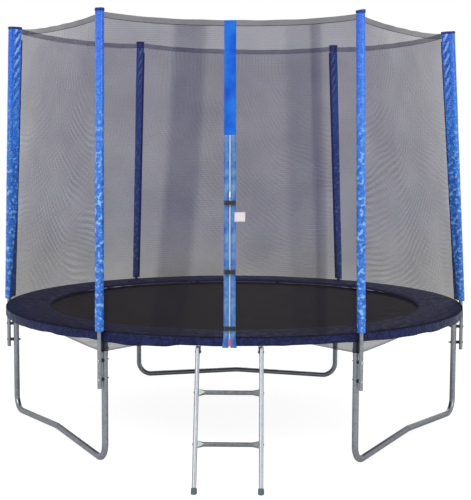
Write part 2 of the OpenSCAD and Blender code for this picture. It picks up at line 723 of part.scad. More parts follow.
module zip_teeth() {
  color([0.8, 0.85, 0.9]) {
    strip(-zip_w / 2, zip_w / 2, strip_low - 3, zip_top_z, teeth_lift, teeth_t);
    strip_tail(-zip_w / 2, zip_w / 2, zip_low_z, teeth_t);
  }
}
// Slider: a block with a groove for the teeth and an eye for the pull
slider_t = 2;
eye_r = 1.5;
lug_wall = 1.1;
lug_w = 4;
eye_gap = 0.4;
// Distance of the eye's middle from the net
eye_y = teeth_lift + teeth_t + seat + slider_t + eye_gap + eye_r;
module at_eye() { on_door(slider_z) translate([0, -eye_y, 0]) children(); }
module zip_slider() {
  color([0.75, 0.78, 0.8]) at_eye() difference() {
    union() {
      translate([-zip_w / 2, eye_r + eye_gap, -slider_len / 2])
        cube([zip_w, slider_t, slider_len]);
      rotate([0, 90, 0]) cylinder(r = eye_r + lug_wall, h = lug_w, center = true);
    }
    rotate([0, 90, 0]) cylinder(r = eye_r, h = 2 * lug_w, center = true);
  }
}
// Pull: a flat tongue hung on a pin through the slider's eye
pin_r = eye_r - tube_fit;
pull_w = 9;
module zip_pull() {
  ear_w = (pull_w - lug_w) / 2 - seat;
  ear_len = eye_r + lug_wall + 2 * seat;
  color([0.92, 0.94, 0.96]) at_eye() {
    rotate([0, 90, 0]) cylinder(r = pin_r, h = pull_w - 1, center = true);
    for (x = [-pull_w / 2, pull_w / 2 - ear_w]) translate([x, -pin_r, -ear_len - 1])
      cube([ear_w, 2 * pin_r, ear_len + 1]);
    translate([-pull_w / 2, -pin_r, -pull_len]) cube([pull_w, pin_r, pull_len - ear_len]);
  }
}

// Side-release buckles: the socket on the right tape, the plug on the left
buckle_lift = net_lift + tape_t + seat;
socket_w = 0.56 * buckle_w;
prong_len = 20;
prong_t = 4;
pocket_fit = 0.4;
module on_buckle(z) { on_door(z) translate([0, -buckle_lift, 0]) children(); }
// Room behind the buckles for the slider and its pull
buckle_clear = eye_y + eye_r + lug_wall + 1 - buckle_lift;
module buckle_sockets() {
  color([0.03, 0.03, 0.035]) for (z = buckle_zs) on_buckle(z)
    translate([buckle_w / 2 - socket_w, -buckle_clear - buckle_t, -buckle_h / 2]) difference() {
      union() {
        cube([socket_w, buckle_t, buckle_h]);
        translate([socket_w - 12, buckle_t, 2]) cube([12, buckle_clear, buckle_h - 4]);
      }
      translate([-1, (buckle_t - prong_t) / 2 - pocket_fit, 3])
        cube([prong_len + 2, prong_t + 2 * pocket_fit, buckle_h - 6]);
      for (s = [-1, 1]) translate([6, -1, buckle_h / 2 + s * buckle_h / 2 - 2.4])
        cube([10, buckle_t + 2, 4.8]);
    }
}
module buckle_plug(z) {
  body_w = buckle_w - socket_w - 1;
  color([0.04, 0.04, 0.045]) on_buckle(z) translate([-buckle_w / 2, -buckle_clear - buckle_t, 0]) {
    difference() {
      translate([0, 0, -buckle_h / 2]) cube([body_w, buckle_t, buckle_h]);
      translate([4, -1, -buckle_h / 2 + 4]) cube([4, buckle_t + 2, buckle_h - 8]);
    }
    for (s = [-1, 0, 1])
      translate([body_w - 1, (buckle_t - prong_t) / 2, s * (buckle_h / 2 - 5.4) - 1.6])
        cube([prong_len, prong_t, 3.2]);
  }
}
module buckle_plug_low() { buckle_plug(buckle_zs[0]); }
module buckle_plug_middle() { buckle_plug(buckle_zs[1]); }
module buckle_plug_top() { buckle_plug(buckle_zs[2]); }
module door_tag() {
  tag_in = 8;
  color([0.95, 0.95, 0.95]) on_door(tag_z - tag_h / 2)
    translate([tape_out - tag_in, -net_lift - tape_t - seat - 0.8, 0]) cube([tag_w, 0.8, tag_h]);
}

// ---------------------------------------------------------------- ladder

hook_x = ladder_w / 2 - ladder_od / 2 - hook_t / 2;
// Frame centreline where a hook sits
hook_y = -sqrt(ring_r * ring_r - hook_x * hook_x);
hook_in_r = rail_r + hook_fit;
hook_out = hook_in_r + hook_band;
// Height of the rails' lower ends, inside the feet
foot_low = 12;
rail_len = (ladder_top_z - foot_low) / cos(ladder_lean);
// Places children on the ladder's slope: z up along the rails from height h
module on_ladder(x, h) {
  translate([x, hook_y - (ladder_top_z - h) * tan(ladder_lean), h])
    rotate([-ladder_lean, 0, 0]) children();
}
module ladder_rail(s) {
  color([0.74, 0.75, 0.78]) difference() {
    on_ladder(s * ladder_w / 2, foot_low) tube(ladder_od, rail_len);
    for (h = [rung_low_z, rung_top_z]) on_ladder(0, h) rotate([0, 90, 0])
      cylinder(d = screw_d + 2 * tube_fit, h = ladder_w + 2 * ladder_od, center = true);
    on_ladder(0, hook_bolt_z) rotate([0, 90, 0])
      cylinder(d = screw_d + 2 * tube_fit, h = ladder_w + 2 * ladder_od, center = true);
  }
}
module ladder_rail_left() { ladder_rail(-1); }
module ladder_rail_right() { ladder_rail(1); }
// Rung: a round tube whose ends are pressed flat into fish tails, turned up against the rails
module ladder_rung(h) {
  clear_w = ladder_w - ladder_od - 2 * seat;
  flat_t = 4;
  tail = 34;
  tail_h = 38;
  color([0.6, 0.62, 0.64]) on_ladder(0, h) difference() {
    union() {
      rotate([0, 90, 0]) cylinder(d = ladder_od, h = clear_w - 2 * tail, center = true);
      for (s = [-1, 1]) hull() {
        translate([s * (clear_w / 2 - tail), 0, 0]) rotate([0, 90, 0])
          cylinder(d = ladder_od, h = 0.5, center = true, $fn = 32);
        translate([s * (clear_w / 2 - 1), 0, 0]) cube([2, flat_t * 2.5, tail_h], center = true);
      }
    }
    rotate([0, 90, 0]) cylinder(d = screw_d + 2 * tube_fit, h = ladder_w, center = true);
  }
}
module ladder_rung_low() { ladder_rung(rung_low_z); }
module ladder_rung_top() { ladder_rung(rung_top_z); }

hook_bolt_z = ladder_top_z - 26;
// Hook plate, seen from the side: a band over the frame tube, from straight below it
// round its outer side to past the top, with a neck down to a round eye on the rail
module hook_profile() {
  neck_w = 12;
  plate_r = 11;
  tip = 60;
  far = 2 * hook_out;
  bolt_y = -(ladder_top_z - hook_bolt_z) * tan(ladder_lean);
  bolt_z = hook_bolt_z - ring_z;
  difference() {
    union() {
      difference() {
        circle(r = hook_out, $fn = 96);
        // Open side, so that the hook lifts off the tube
        polygon([[0, 0], [0, -far], [far, -far], [far, far], far * [cos(tip), sin(tip)]]);
      }
      translate([-neck_w, bolt_z]) square([neck_w, -bolt_z]);
      translate([bolt_y, bolt_z]) circle(r = plate_r);
    }
    circle(r = hook_in_r, $fn = 96);
  }
}
module ladder_hooks() {
  color([0.06, 0.06, 0.07]) for (s = [-1, 1]) difference() {
    translate([s * hook_x - hook_t / 2, hook_y, ring_z]) rotate([90, 0, 90])
      linear_extrude(height = hook_t) hook_profile();
    on_ladder(0, hook_bolt_z) rotate([0, 90, 0])
      cylinder(d = screw_d + 2 * tube_fit, h = ladder_w, center = true);
  }
}
module ladder_bolts() {
  reach = ladder_od + hook_t;
  color([0.3, 0.31, 0.33]) for (s = [-1, 1]) {
    for (h = [rung_low_z, rung_top_z]) on_ladder(s * ladder_w / 2, h) rotate([0, 90 * s, 0]) {
      translate([0, 0, -ladder_od / 2 - 14]) cylinder(d = screw_d, h = ladder_od + 14);
      translate([0, 0, ladder_od / 2]) cylinder(d = 2 * screw_d, h = screw_head);
    }
    on_ladder(s * ladder_w / 2, hook_bolt_z) rotate([0, 90 * s, 0]) {
      translate([0, 0, -reach / 2 - hook_t / 2 - 6]) cylinder(d = screw_d, h = reach + 6);
      translate([0, 0, ladder_od / 2]) cylinder(d = 2 * screw_d, h = screw_head);
      translate([0, 0, -ladder_od / 2 - hook_t - 5]) cylinder(d = 2 * screw_d, h = 5, $fn = 6);
    }
  }
}
module ladder_feet() {
  od = ladder_od + 2 * (foot_wall + seat);
  color([0.05, 0.07, 0.06]) for (s = [-1, 1]) difference() {
    on_ladder(s * ladder_w / 2, foot_low) translate([0, 0, -30]) cylinder(d = od, h = foot_len + 30);
    on_ladder(s * ladder_w / 2, foot_low) cylinder(d = ladder_od + 2 * seat, h = foot_len + 1);
    translate([s * ladder_w / 2 - 100, hook_y - 700, -200]) cube([200, 700, 200]);
  }
}

frame_rails();
t_sockets();
leg_base_right();
leg_base_rear();
leg_base_left();
leg_uprights();
socket_screws();
poles_lower();
poles_upper();
pole_foams();
sleeve_near_right();
sleeve_right();
sleeve_rear_right();
sleeve_rear_left();
sleeve_left();
sleeve_near_left();
pole_caps();
spacers();
pole_bolts();
pole_nuts();
springs();
jump_mat();
mat_border();
v_rings();
spring_pad();
pad_skirt();
pad_straps();
net_right();
net_rear_right();
net_rear();
net_rear_left();
net_left();
net_front_left();
net_front_right();
top_hem();
bottom_hem();
net_ties();
door_tape_top();
door_tape_left();
door_tape_right();
zip_teeth();
zip_slider();
zip_pull();
buckle_sockets();
buckle_plug_low();
buckle_plug_middle();
buckle_plug_top();
door_tag();
ladder_rail_left();
ladder_rail_right();
ladder_rung_low();
ladder_rung_top();
ladder_hooks();
ladder_bolts();
ladder_feet();
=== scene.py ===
"""Looks of a round garden trampoline: frame, springs, mat, padded ring, zipped net and ladder.

Metres, +Z up. Azimuths are in degrees about +Z, from -Y (the door side) towards +X.
"""

import logging
import math
from dataclasses import dataclass
from enum import Enum

import bpy
import numpy as np
from mathutils import Matrix, Vector


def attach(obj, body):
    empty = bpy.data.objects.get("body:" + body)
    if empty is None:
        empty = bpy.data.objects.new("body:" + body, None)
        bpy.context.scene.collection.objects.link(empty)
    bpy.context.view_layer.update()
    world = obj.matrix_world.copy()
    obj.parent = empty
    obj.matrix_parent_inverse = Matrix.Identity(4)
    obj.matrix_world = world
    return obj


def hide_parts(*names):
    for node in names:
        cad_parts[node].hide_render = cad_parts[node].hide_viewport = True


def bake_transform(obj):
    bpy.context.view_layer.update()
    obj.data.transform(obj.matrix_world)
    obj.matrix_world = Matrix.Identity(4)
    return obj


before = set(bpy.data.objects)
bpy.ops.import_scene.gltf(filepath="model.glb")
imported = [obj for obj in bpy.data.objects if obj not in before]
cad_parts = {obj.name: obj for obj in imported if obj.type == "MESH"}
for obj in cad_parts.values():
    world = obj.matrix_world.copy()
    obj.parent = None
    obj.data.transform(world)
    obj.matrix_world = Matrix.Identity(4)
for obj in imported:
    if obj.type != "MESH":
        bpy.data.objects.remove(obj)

LOG = logging.getLogger("trampoline")
TURN = 2.0 * math.pi
UP = np.array([0.0, 0.0, 1.0])

Array = np.ndarray
Colour = tuple[float, float, float]


class Body(str, Enum):
    """Bodies of the frame that pieces ride on."""

    FRAME = "frame"
    MAT = "mat"
    LADDER = "ladder"


class Held(str, Enum):
    """Ways in which a sheet of cloth is held."""

    HUNG = "hung"
    STRETCHED = "stretched"


class Slot(str, Enum):
    """Material slots of the record."""

    SPRINGS = "zinc_plated_steel"
    MAT = "mat_cloth"
    WEBBING = "webbing"
    PAD = "pad_cover"
    SKIRT = "skirt_sheet"
    NET = "net_mesh"
    HEM = "net_hem"
    CORD = "cord"
    SLEEVE = "sleeve_sheet"
    CAP = "cap_sheet"
    FOAM = "foam"
    TAPE = "door_tape"
    ZIP = "zip_plastic"
    TAG = "tag_cloth"
    RUBBER = "foot_rubber"


# ------------------------------------------------------------------ shared sizes


def smooth_step(x: Array, low: float, high: float) -> Array:
    """0 below low, 1 above high and 3t^2 - 2t^3 between."""
    t = np.clip((x - low) / (high - low), 0, 1)
    return t * t * (3 - 2 * t)


@dataclass(frozen=True)
class Plan:
    """Sizes and curves that several sub-assemblies share, in metres.

    margin is the angle from a pole to the first spring, rise each pole's extra height, pull how far
    its top leans in. Sleeves numbered in slim stay round. fin_low and fin_top are the other
    sleeves' reach inwards at both ends, and low_reach is the share over which the lower hem rises.
    """

    ring_r: float = 1.505
    rail_r: float = 0.019
    ring_z: float = 0.746
    socket_r: float = 0.0206
    springs: int = 10
    margin: float = 3.2
    pole_r: float = 1.556
    pole_top: float = 2.600
    rise: tuple[float, ...] = (0.0, 0.003, 0.0, 0.024, 0.025, 0.006)
    pole_bend: float = 0.665
    pole_bend_r: float = 0.600
    pull: tuple[float, ...] = (0.054, 0.113, 0.140, 0.091, 0.050, 0.022)
    azimuths: tuple[float, ...] = (28.8, 91.2, 148.8, 211.2, 268.8, 331.2)
    sleeve_r: float = 0.028
    slim_r: float = 0.0262
    slim: tuple[int, ...] = (0, 5)
    slim_reach: float = 0.0265
    sleeve_low: float = 0.792
    fin_r: float = 0.004
    fin_low: float = 0.044
    fin_top: float = 0.065
    seat: float = 0.0003
    net_t: float = 0.001
    net_r: float = 1.5313
    rim_low: float = 0.7745
    rim: float = 0.790
    net_top: float = 2.544
    top_drop: float = 0.012
    net_sag: tuple[float, ...] = (0.024, 0.028, 0.034, 0.028, 0.024, 0.042)
    sag_power: float = 2.6
    hem_h: float = 0.034
    low_hem_h: float = 0.012
    low_at_pole: float = 0.672
    low_at_mid: float = 0.745
    low_reach: float = 0.2

    def sweep(self, i: int) -> tuple[float, float]:
        """Azimuths of pole i and of the pole after it."""
        return self.azimuths[i], self.azimuths[i + 1] if i < 5 else self.azimuths[0] + 360.0

    def around(self, degrees: float | Array) -> Array:
        """Unit vectors in plan at these azimuths: (sin a, -cos a)."""
        a = np.radians(degrees)
        return np.stack([np.sin(a), -np.cos(a)], -1)

    def holes(self, i: int) -> Array:
        """Unit vectors in plan towards rail i's spring holes."""
        a0, a1 = self.sweep(i)
        step = (a1 - a0 - 2 * self.margin) / (self.springs - 1)
        return self.around(a0 + self.margin + np.arange(self.springs) * step)

    def top_z(self, i: int) -> float:
        """Height of pole i's upper end."""
        return self.pole_top + self.rise[i]

    def lean(self, i: int) -> float:
        """Lean of pole i's upper length from upright, in radians."""
        return math.atan(self.pull[i] / (self.top_z(i) - self.pole_bend))

    def pole_at(self, i: int, z: float | Array) -> float | Array:
        """Radius of pole i's axis at height z: the bend's end less the rise times tan(lean)."""
        tilt = self.lean(i)
        end_r = self.pole_r - self.pole_bend_r * (1 - math.cos(tilt))
        end_z = self.pole_bend + self.pole_bend_r * math.sin(tilt)
        return end_r - (z - end_z) * math.tan(tilt)

    def reach(self, i: int, z: float | Array) -> float | Array:
        """Distance from pole i's middle to its sleeve's inner edge: more towards the top.

        The slim sleeves beside the door stay round.
        """
        if i in self.slim:
            return self.slim_reach + 0.0 * z
        share = (z - self.sleeve_low) / (self.top_z(i) - self.sleeve_low)
        return self.fin_low + (self.fin_top - self.fin_low) * share

    def skin_r(self, i: int) -> float:
        """Radius of the sleeve of pole i."""
        return self.slim_r if i in self.slim else self.sleeve_r

    def sewn(self, i: int, z: float | Array) -> float | Array:
        """Radius of the net's inner face where it touches the sleeve of pole i."""
        inwards = self.reach(i, z) / math.cos(self.lean(i))
        return self.pole_at(i, z) - inwards - self.seat - self.net_t

    def low_edge(self, u: Array) -> Array:
        """Height of the net's lower edge at share u: low at the poles, high between."""
        t = np.clip(np.minimum(u, 1 - u) / self.low_reach, 0, 1)
        return self.low_at_pole + (self.low_at_mid - self.low_at_pole) * t

    def top_edge(self, i: int, u: Array) -> Array:
        """Height of panel i's upper edge at share u: high + sag |1 - 2u|^power - sag."""
        high = [self.top_z(k) - self.top_drop - self.hem_h for k in (i, (i + 1) % 6)]
        sag = self.net_sag[i] * (1 - np.abs(1 - 2 * u) ** self.sag_power)
        return high[0] + (high[1] - high[0]) * u - sag

    def net_point(self, i: int, u: Array, z: Array, out: float | Array) -> Array:
        """Points of net panel i.

        A straight-line surface from the chord between two poles at the top to a circle at the rim.
        Below the rim it turns out over the pad's edge and hangs straight down.

        Args:
            i: Number of the panel, which starts at pole i.
            u: Share across the panel of each row, from 0 to 1, rows x 1.
            z: Heights, rows x columns.
            out: Distances outwards from the net's inner face, one or rows x columns.

        Returns:
            Points, rows x columns x 3.
        """
        a0, a1 = self.sweep(i)
        out_dir = self.around(a0 + (a1 - a0) * u)
        zz = np.maximum(z, self.rim)
        drop = np.clip((z - self.rim_low) / (self.rim - self.rim_low), 0, 1)[..., None]
        w = np.clip((zz - self.rim) / (self.net_top - self.rim), 0, 1)[..., None]
        r0, r1 = self.sewn(i, zz), self.sewn((i + 1) % 6, zz)
        radius = (r0 + (r1 - r0) * u)[..., None]
        start = r0[..., None] * self.around(a0)
        chord = start + (r1[..., None] * self.around(a1) - start) * u[..., None]
        high = radius * out_dir * (1 - w) + chord * w
        low = self.net_r * out_dir
        return raised(low * (1 - drop) + high * drop + np.asarray(out)[..., None] * out_dir, z)

    def width(self, i: int) -> float:
        """Width of a net panel along its chord at the rim."""
        a0, a1 = self.sweep(i)
        return 2 * float(self.sewn(i, self.rim)) * math.sin(math.radians(a1 - a0) / 2)

    def closeness(self, y: Array) -> Array:
        """Share from 0 at the back to 1 at the door side, where the net lies closer."""
        return smooth_step(-y, -1.0, 1.35)


PLAN = Plan()


# ------------------------------------------------------------------ shapes


def linear(*display: int) -> Colour:
    """Linear colour of a display colour given from 0 to 255."""
    c = np.array(display) / 255.0
    return tuple(np.where(c <= 0.04045, c / 12.92, ((c + 0.055) / 1.055) ** 2.4).tolist())


def raised(plan: Array, z: float | Array) -> Array:
    """Points over plan points at heights z."""
    return np.concatenate([plan, np.broadcast_to(z, plan.shape[:-1])[..., None]], -1)


def crossed(rows: Array, cols: Array) -> Array:
    """Each row's number beside each column's, rows x columns x 2."""
    return np.stack(np.broadcast_arrays(rows[:, None], cols[None]), -1)


def circle(t: Array, across: Array, up: Array = UP) -> Array:
    """Unit vectors cos t across + sin t up, one for each angle t."""
    return np.cos(t)[..., None] * across + np.sin(t)[..., None] * up


def crumple(points: Array, scale: float, seed: int, sharp: float = 0.0, waves: int = 10) -> Array:
    """Made-up relief from -1 to 1 at points.

    Sum of sine waves whose directions, lengths and phases come from the seed, pressed to -1..1 by
    tanh. The sharp share of it is folded at zero, which gives creases.

    Args:
        points: Points, whose last axis is x, y, z.
        scale: Length of a typical wave.
        seed: Number that picks the waves.
        sharp: Share of creases, from 0 to 1.
        waves: Number of waves.

    Returns:
        Relief, of the points' shape without its last axis.
    """
    rng = np.random.default_rng(seed)
    d = rng.normal(size=(waves, 3))
    d *= rng.uniform(0.6, 1.8, (waves, 1)) / np.linalg.norm(d, axis=1, keepdims=True) / scale
    s = np.sin(TURN * points @ d.T + rng.uniform(0, TURN, waves)).sum(-1) / math.sqrt(waves / 2)
    s = np.tanh(s)
    return (1 - sharp) * s + sharp * (1 - 2 * np.abs(s))


def carry(path: Array, towards: Array, radius: float, sides: int) -> Array:
    """Circle carried along a path.

    The tangent is the path's derivative, the normal is towards less its share along the tangent,
    the side is tangent x normal, and a point is path + radius (normal cos a + side sin a).

    Args:
        path: Points, steps x 3.
        towards: Direction of angle 0, 3 or steps x 3.
        radius: Radius of the circle.
        sides: Points round it.

    Returns:
        Points, around x steps x 3.
    """
    tangent = np.gradient(path, axis=0)
    tangent /= np.linalg.norm(tangent, axis=1, keepdims=True)
    ref = np.broadcast_to(towards, path.shape)
    normal = ref - (ref * tangent).sum(1, keepdims=True) * tangent
    normal /= np.linalg.norm(normal, axis=1, keepdims=True)
    side = np.cross(tangent, normal)
    p = radius * circle(np.arange(sides)[:, None] * TURN / sides, *np.eye(2))
    return path[None] + p[..., :1] * normal[None] + p[..., 1:] * side[None]


class Builder:
    """Collects grids and caps into one mesh object at the origin."""

    def __init__(self, name: str) -> None:
        """Starts an empty mesh with that name."""
        self.name = name
        self.points: list[Array] = []
        self.faces: list[list[int]] = []
        self.corner_uv: list[Array] = []
        self.shade: list[Array] = []
        self.count = 0

    def grid(
        self, points: Array, uv: Array, wrap: int = 0, flip: bool = False,
        shade: float | Array = 0.0,
    ) -> Array:
        """Adds a grid of quads.

        A face's outside is the cross product of the step along rows and the step along columns.

        Args:
            points: Points, rows x columns x 3.
            uv: Positions on the cloth in metres, one more row or column than points where it wraps.
            wrap: 1 where the last row joins the first, 2 where the last column does too.
            flip: Turns the faces over.
            shade: Number of each point that its material may read.

        Returns:
            Numbers of the vertices, rows x columns.
        """
        rows, cols = points.shape[:2]
        i, j = np.indices((rows - (wrap < 1), cols - (wrap < 2)))
        ci = np.stack([i, i + 1, i + 1, i], -1).reshape(-1, 4)
        cj = np.stack([j, j, j + 1, j + 1], -1).reshape(-1, 4)
        if flip:
            ci, cj = ci[:, ::-1], cj[:, ::-1]
        self.points.append(points.reshape(-1, 3))
        self.faces.extend((self.count + (ci % rows) * cols + cj % cols).tolist())
        self.corner_uv.append(uv[ci, cj].reshape(-1, 2))
        self.shade.append(np.broadcast_to(shade, (rows, cols)).reshape(-1))
        numbers = self.count + np.arange(rows * cols).reshape(rows, cols)
        self.count += rows * cols
        return numbers

    def cap(self, numbers: Array) -> None:
        """Closes a ring of vertices with one face, which faces out by the right-hand rule."""
        self.faces.append(numbers.tolist())
        self.corner_uv.append(np.zeros((len(numbers), 2)))

    def ends(self, numbers: Array) -> None:
        """Closes both ends of a grid whose rows wrap."""
        self.cap(numbers[::-1, 0])
        self.cap(numbers[:, -1])

    def tube(self, path: Array, towards: Array, radius: float, sides: int) -> None:
        """Adds a round bar along a path, closed at both ends, with UV (around, along)."""
        step = np.linalg.norm(np.diff(path, axis=0), axis=1)
        along = np.concatenate([[0.0], np.cumsum(step)])
        girth = np.arange(sides + 1) * TURN * radius / sides
        self.ends(self.grid(carry(path, towards, radius, sides), crossed(girth, along), 1))

    def mesh(self, material: bpy.types.Material, sharp: float = 60.0) -> bpy.types.Object:
        """The mesh object at the origin, with edges sharp where they bend by more than sharp."""
        mesh = bpy.data.meshes.new(self.name)
        mesh.from_pydata(np.concatenate(self.points).tolist(), [], self.faces)
        uv = np.concatenate(self.corner_uv).astype(np.float32).ravel()
        mesh.uv_layers.new(name="UVMap").data.foreach_set("uv", uv)
        layer = mesh.attributes.new("shade", "FLOAT", "POINT")
        layer.data.foreach_set("value", np.concatenate(self.shade).astype(np.float32))
        mesh.polygons.foreach_set("use_smooth", np.ones(len(mesh.polygons), bool))
        mesh.set_sharp_from_angle(angle=math.radians(sharp))
        mesh.materials.append(material)
        mesh.update()
        piece = bpy.data.objects.new(self.name, mesh)
        bpy.context.scene.collection.objects.link(piece)
        return piece

    def settle(
        self, finish: "Finish", body: Body, slot: Slot, *nodes: str,
        wall: float = 0.0, offset: float = 0.0, sharp: float = 60.0,
    ) -> bpy.types.Object:
        """Makes the piece and gives it its place.

        Args:
            finish: Its finish.
            body: The body that it moves with.
            slot: Its material slot in the record; not used.
            nodes: CAD nodes that it replaces.
            wall: Thickness that a sheet gets, or 0 for a closed mesh.
            offset: Side on which the wall lies, 0 for about the middle.
            sharp: Edges that bend by more than this, in degrees, stay sharp.

        Returns:
            The piece.
        """
        piece = self.mesh(finish.material(), sharp)
        if wall:
            solid = piece.modifiers.new("wall", "SOLIDIFY")
            solid.thickness, solid.offset = wall, offset
        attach(piece, body.value)
        if nodes:
            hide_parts(*nodes)
        LOG.info("made %s: %d faces", piece.name, len(piece.data.polygons))
        return piece


def dress(finish: "Finish", *nodes: str) -> None:
    """Puts one finish on CAD nodes that stay as they are."""
    for name in nodes:
        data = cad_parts[name].data
        data.materials.clear()
        data.materials.append(finish.material())
        LOG.info("dressed %s in %s", name, finish.name)


# ------------------------------------------------------------------ finishes


@dataclass(frozen=True)
class Signal:
    """Number in a node tree, on which arithmetic makes Math nodes."""

    tree: "Tree"
    socket: bpy.types.NodeSocket

    def math(self, operation: str, *others: object) -> "Signal":
        """Result of a Math node on this and the others."""
        return self.tree.math(operation, self, *others)

    def __add__(self, other: object) -> "Signal":
        """Sum."""
        return self.math("ADD", other)

    def __sub__(self, other: object) -> "Signal":
        """Difference."""
        return self.math("SUBTRACT", other)

    def __rsub__(self, other: float) -> "Signal":
        """A number less this."""
        return self.tree.math("SUBTRACT", other, self)

    def __mul__(self, other: object) -> "Signal":
        """Product."""
        return self.math("MULTIPLY", other)

    def __abs__(self) -> "Signal":
        """Size without sign."""
        return self.math("ABSOLUTE")

    def wave(self, period: float) -> "Signal":
        """Sine of this length, with that period, from -1 to 1."""
        return (self * (TURN / period)).math("SINE")

    def between(self, a: float, b: float, low: float = 0.0, high: float = 1.0) -> "Signal":
        """Number from low to high while this goes from a to b."""
        ends = {"From Min": a, "From Max": b, "To Min": low, "To Max": high}
        return Signal(self.tree, self.tree.add("MapRange", Value=self, **ends).outputs[0])


class Tree:
    """Node tree of a material or a world."""

    def __init__(self, owner: bpy.types.ID, kind: str = "Material") -> None:
        """Starts with only an output, of a Material or a World."""
        owner.use_nodes = True
        self.owner = owner
        self.nodes, self.links = owner.node_tree.nodes, owner.node_tree.links
        self.nodes.clear()
        self.output = self.add("Output" + kind)

    def put(self, socket: bpy.types.NodeSocket, value: object) -> None:
        """Links a signal or node to the socket, or sets a number or colour on it."""
        if isinstance(value, Signal):
            value = value.socket
        if isinstance(value, bpy.types.Node):
            value = value.outputs[0]
        if isinstance(value, bpy.types.NodeSocket):
            self.links.new(value, socket)
        elif socket.type == "RGBA":
            socket.default_value = (*value[:3], 1.0)
        else:
            socket.default_value = value

    def add(self, kind: str, **inputs: object) -> bpy.types.Node:
        """Adds a node.

        Args:
            kind: Its type, without the leading ShaderNode.
            inputs: Values or links of its inputs by name, with _ for a space. Names in small
                letters are the node's options.

        Returns:
            The node.
        """
        node = self.nodes.new("ShaderNode" + kind)
        for key, value in inputs.items():
            if key.islower():
                setattr(node, key, value)
            else:
                self.put(node.inputs[key.replace("_", " ")], value)
        return node

    def blend(self, share: object, a: object, b: object) -> bpy.types.NodeSocket:
        """Colour a turning into colour b by share."""
        node = self.add("Mix", data_type="RGBA")
        for k, value in ((0, share), (6, a), (7, b)):
            self.put(node.inputs[k], value)
        return node.outputs[2]

    def join(self, kind: str, *values: object, **options: object) -> bpy.types.Node:
        """Node of that kind whose first inputs are the values."""
        node = self.add(kind, **options)
        for socket, value in zip(node.inputs, values):
            self.put(socket, value)
        return node

    def math(self, operation: str, *values: object) -> Signal:
        """Result of a Math node on the values."""
        return Signal(self, self.join("Math", *values, operation=operation).outputs[0])

    def place(self) -> bpy.types.NodeSocket:
        """Object coordinates."""
        return self.add("Mapping", Vector=self.add("TexCoord").outputs["Object"]).outputs[0]

    def cloth(self) -> tuple[bpy.types.NodeSocket, Signal, Signal]:
        """Position on the cloth in metres, from the piece's own UV map, and its two parts."""
        where = self.add("Mapping", Vector=self.add("UVMap", uv_map="UVMap")).outputs[0]
        flat = self.add("SeparateXYZ", Vector=where).outputs
        return where, Signal(self, flat[0]), Signal(self, flat[1])

    def noise(self, where: object, scale: float, detail: float = 3.0, rough: float = 0.5) -> Signal:
        """Noise from 0 to 1."""
        node = self.add("TexNoise", Vector=where, Scale=scale, Detail=detail, Roughness=rough)
        return Signal(self, node.outputs[0])

    def cells(self, where: object, scale: float) -> bpy.types.NodeOutputs:
        """Distance and Color outputs of cells."""
        return self.add("TexVoronoi", Vector=where, Scale=scale).outputs

    def bump(
        self, height: object, distance: float, strength: float, **after: object
    ) -> bpy.types.Node:
        """Bump of that height, on top of another bump given as Normal."""
        return self.add("Bump", Strength=strength, Distance=distance, Height=height, **after)

    def shade(self) -> Signal:
        """The number that the mesh carries at each point."""
        return Signal(self, self.add("Attribute", attribute_name="shade").outputs["Fac"])

    def seen(self) -> Signal:
        """1 for rays from the camera and for those let through, else 0."""
        ray = self.add("LightPath").outputs
        return Signal(self, ray["Is Camera Ray"]).math("MAXIMUM", ray["Is Transmission Ray"])

    def end(self, shader: bpy.types.Node) -> bpy.types.ID:
        """Ends the tree with this shader and returns the tree's owner."""
        self.put(self.output.inputs[0], shader)
        return self.owner

    def finish(self, **inputs: object) -> bpy.types.Material:
        """Ends the tree with a Principled shader with these inputs."""
        return self.end(self.add("BsdfPrincipled", **inputs))


@dataclass(frozen=True)
class Finish:
    """A named finish, made once and shared."""

    name: str

    def material(self) -> bpy.types.Material:
        """The material, made at the first call."""
        found = bpy.data.materials.get(self.name)
        return found or self.make(Tree(bpy.data.materials.new(self.name)))

    def make(self, tree: Tree) -> bpy.types.Material:
        """Builds the material in an empty tree."""
        raise NotImplementedError


@dataclass(frozen=True)
class Steel(Finish):
    """Zinc-coated steel: crystals or fine grain, with a dull cloudy film."""

    light: Colour = linear(164, 168, 174)
    dark: Colour = linear(136, 140, 147)
    crystal: float = 120.0
    roughness: float = 0.34
    metal: float = 0.92

    def make(self, tree: Tree) -> bpy.types.Material:
        """Cells of crystal tint the colour and the gloss, and noise clouds the colour."""
        where = tree.place()
        tint = tree.add("SeparateColor", Color=tree.cells(where, self.crystal)["Color"])
        cell = Signal(tree, tint.outputs[0])
        share = cell * 0.45 + tree.noise(where, 14.0, 4.0) * 0.55
        return tree.finish(
            Base_Color=tree.blend(share.between(0.2, 0.8), self.dark, self.light),
            Metallic=self.metal,
            Roughness=cell.between(0.0, 1.0, self.roughness - 0.04, self.roughness + 0.05),
            Normal=tree.bump(tree.noise(where, 900.0, 2.0), 0.0001, 0.4),
        )


@dataclass(frozen=True)
class Moulded(Finish):
    """Moulded plastic or rubber: fine grain and faint clouding."""

    colour: Colour = linear(24, 24, 26)
    rub: Colour = linear(52, 52, 55)
    roughness: float = 0.5
    grain: float = 1400.0
    depth: float = 0.00012

    def make(self, tree: Tree) -> bpy.types.Material:
        """Noise rubs the colour, changes the gloss and gives the moulded grain."""
        where = tree.place()
        rub = tree.noise(where, 60.0, 5.0, 0.6)
        return tree.finish(
            Base_Color=tree.blend(rub.between(0.45, 0.8, 0.0, 0.7), self.colour, self.rub),
            Roughness=rub.between(0.3, 0.7, self.roughness - 0.07, self.roughness + 0.1),
            Normal=tree.bump(tree.noise(where, self.grain, 2.0), self.depth, 0.5),
        )


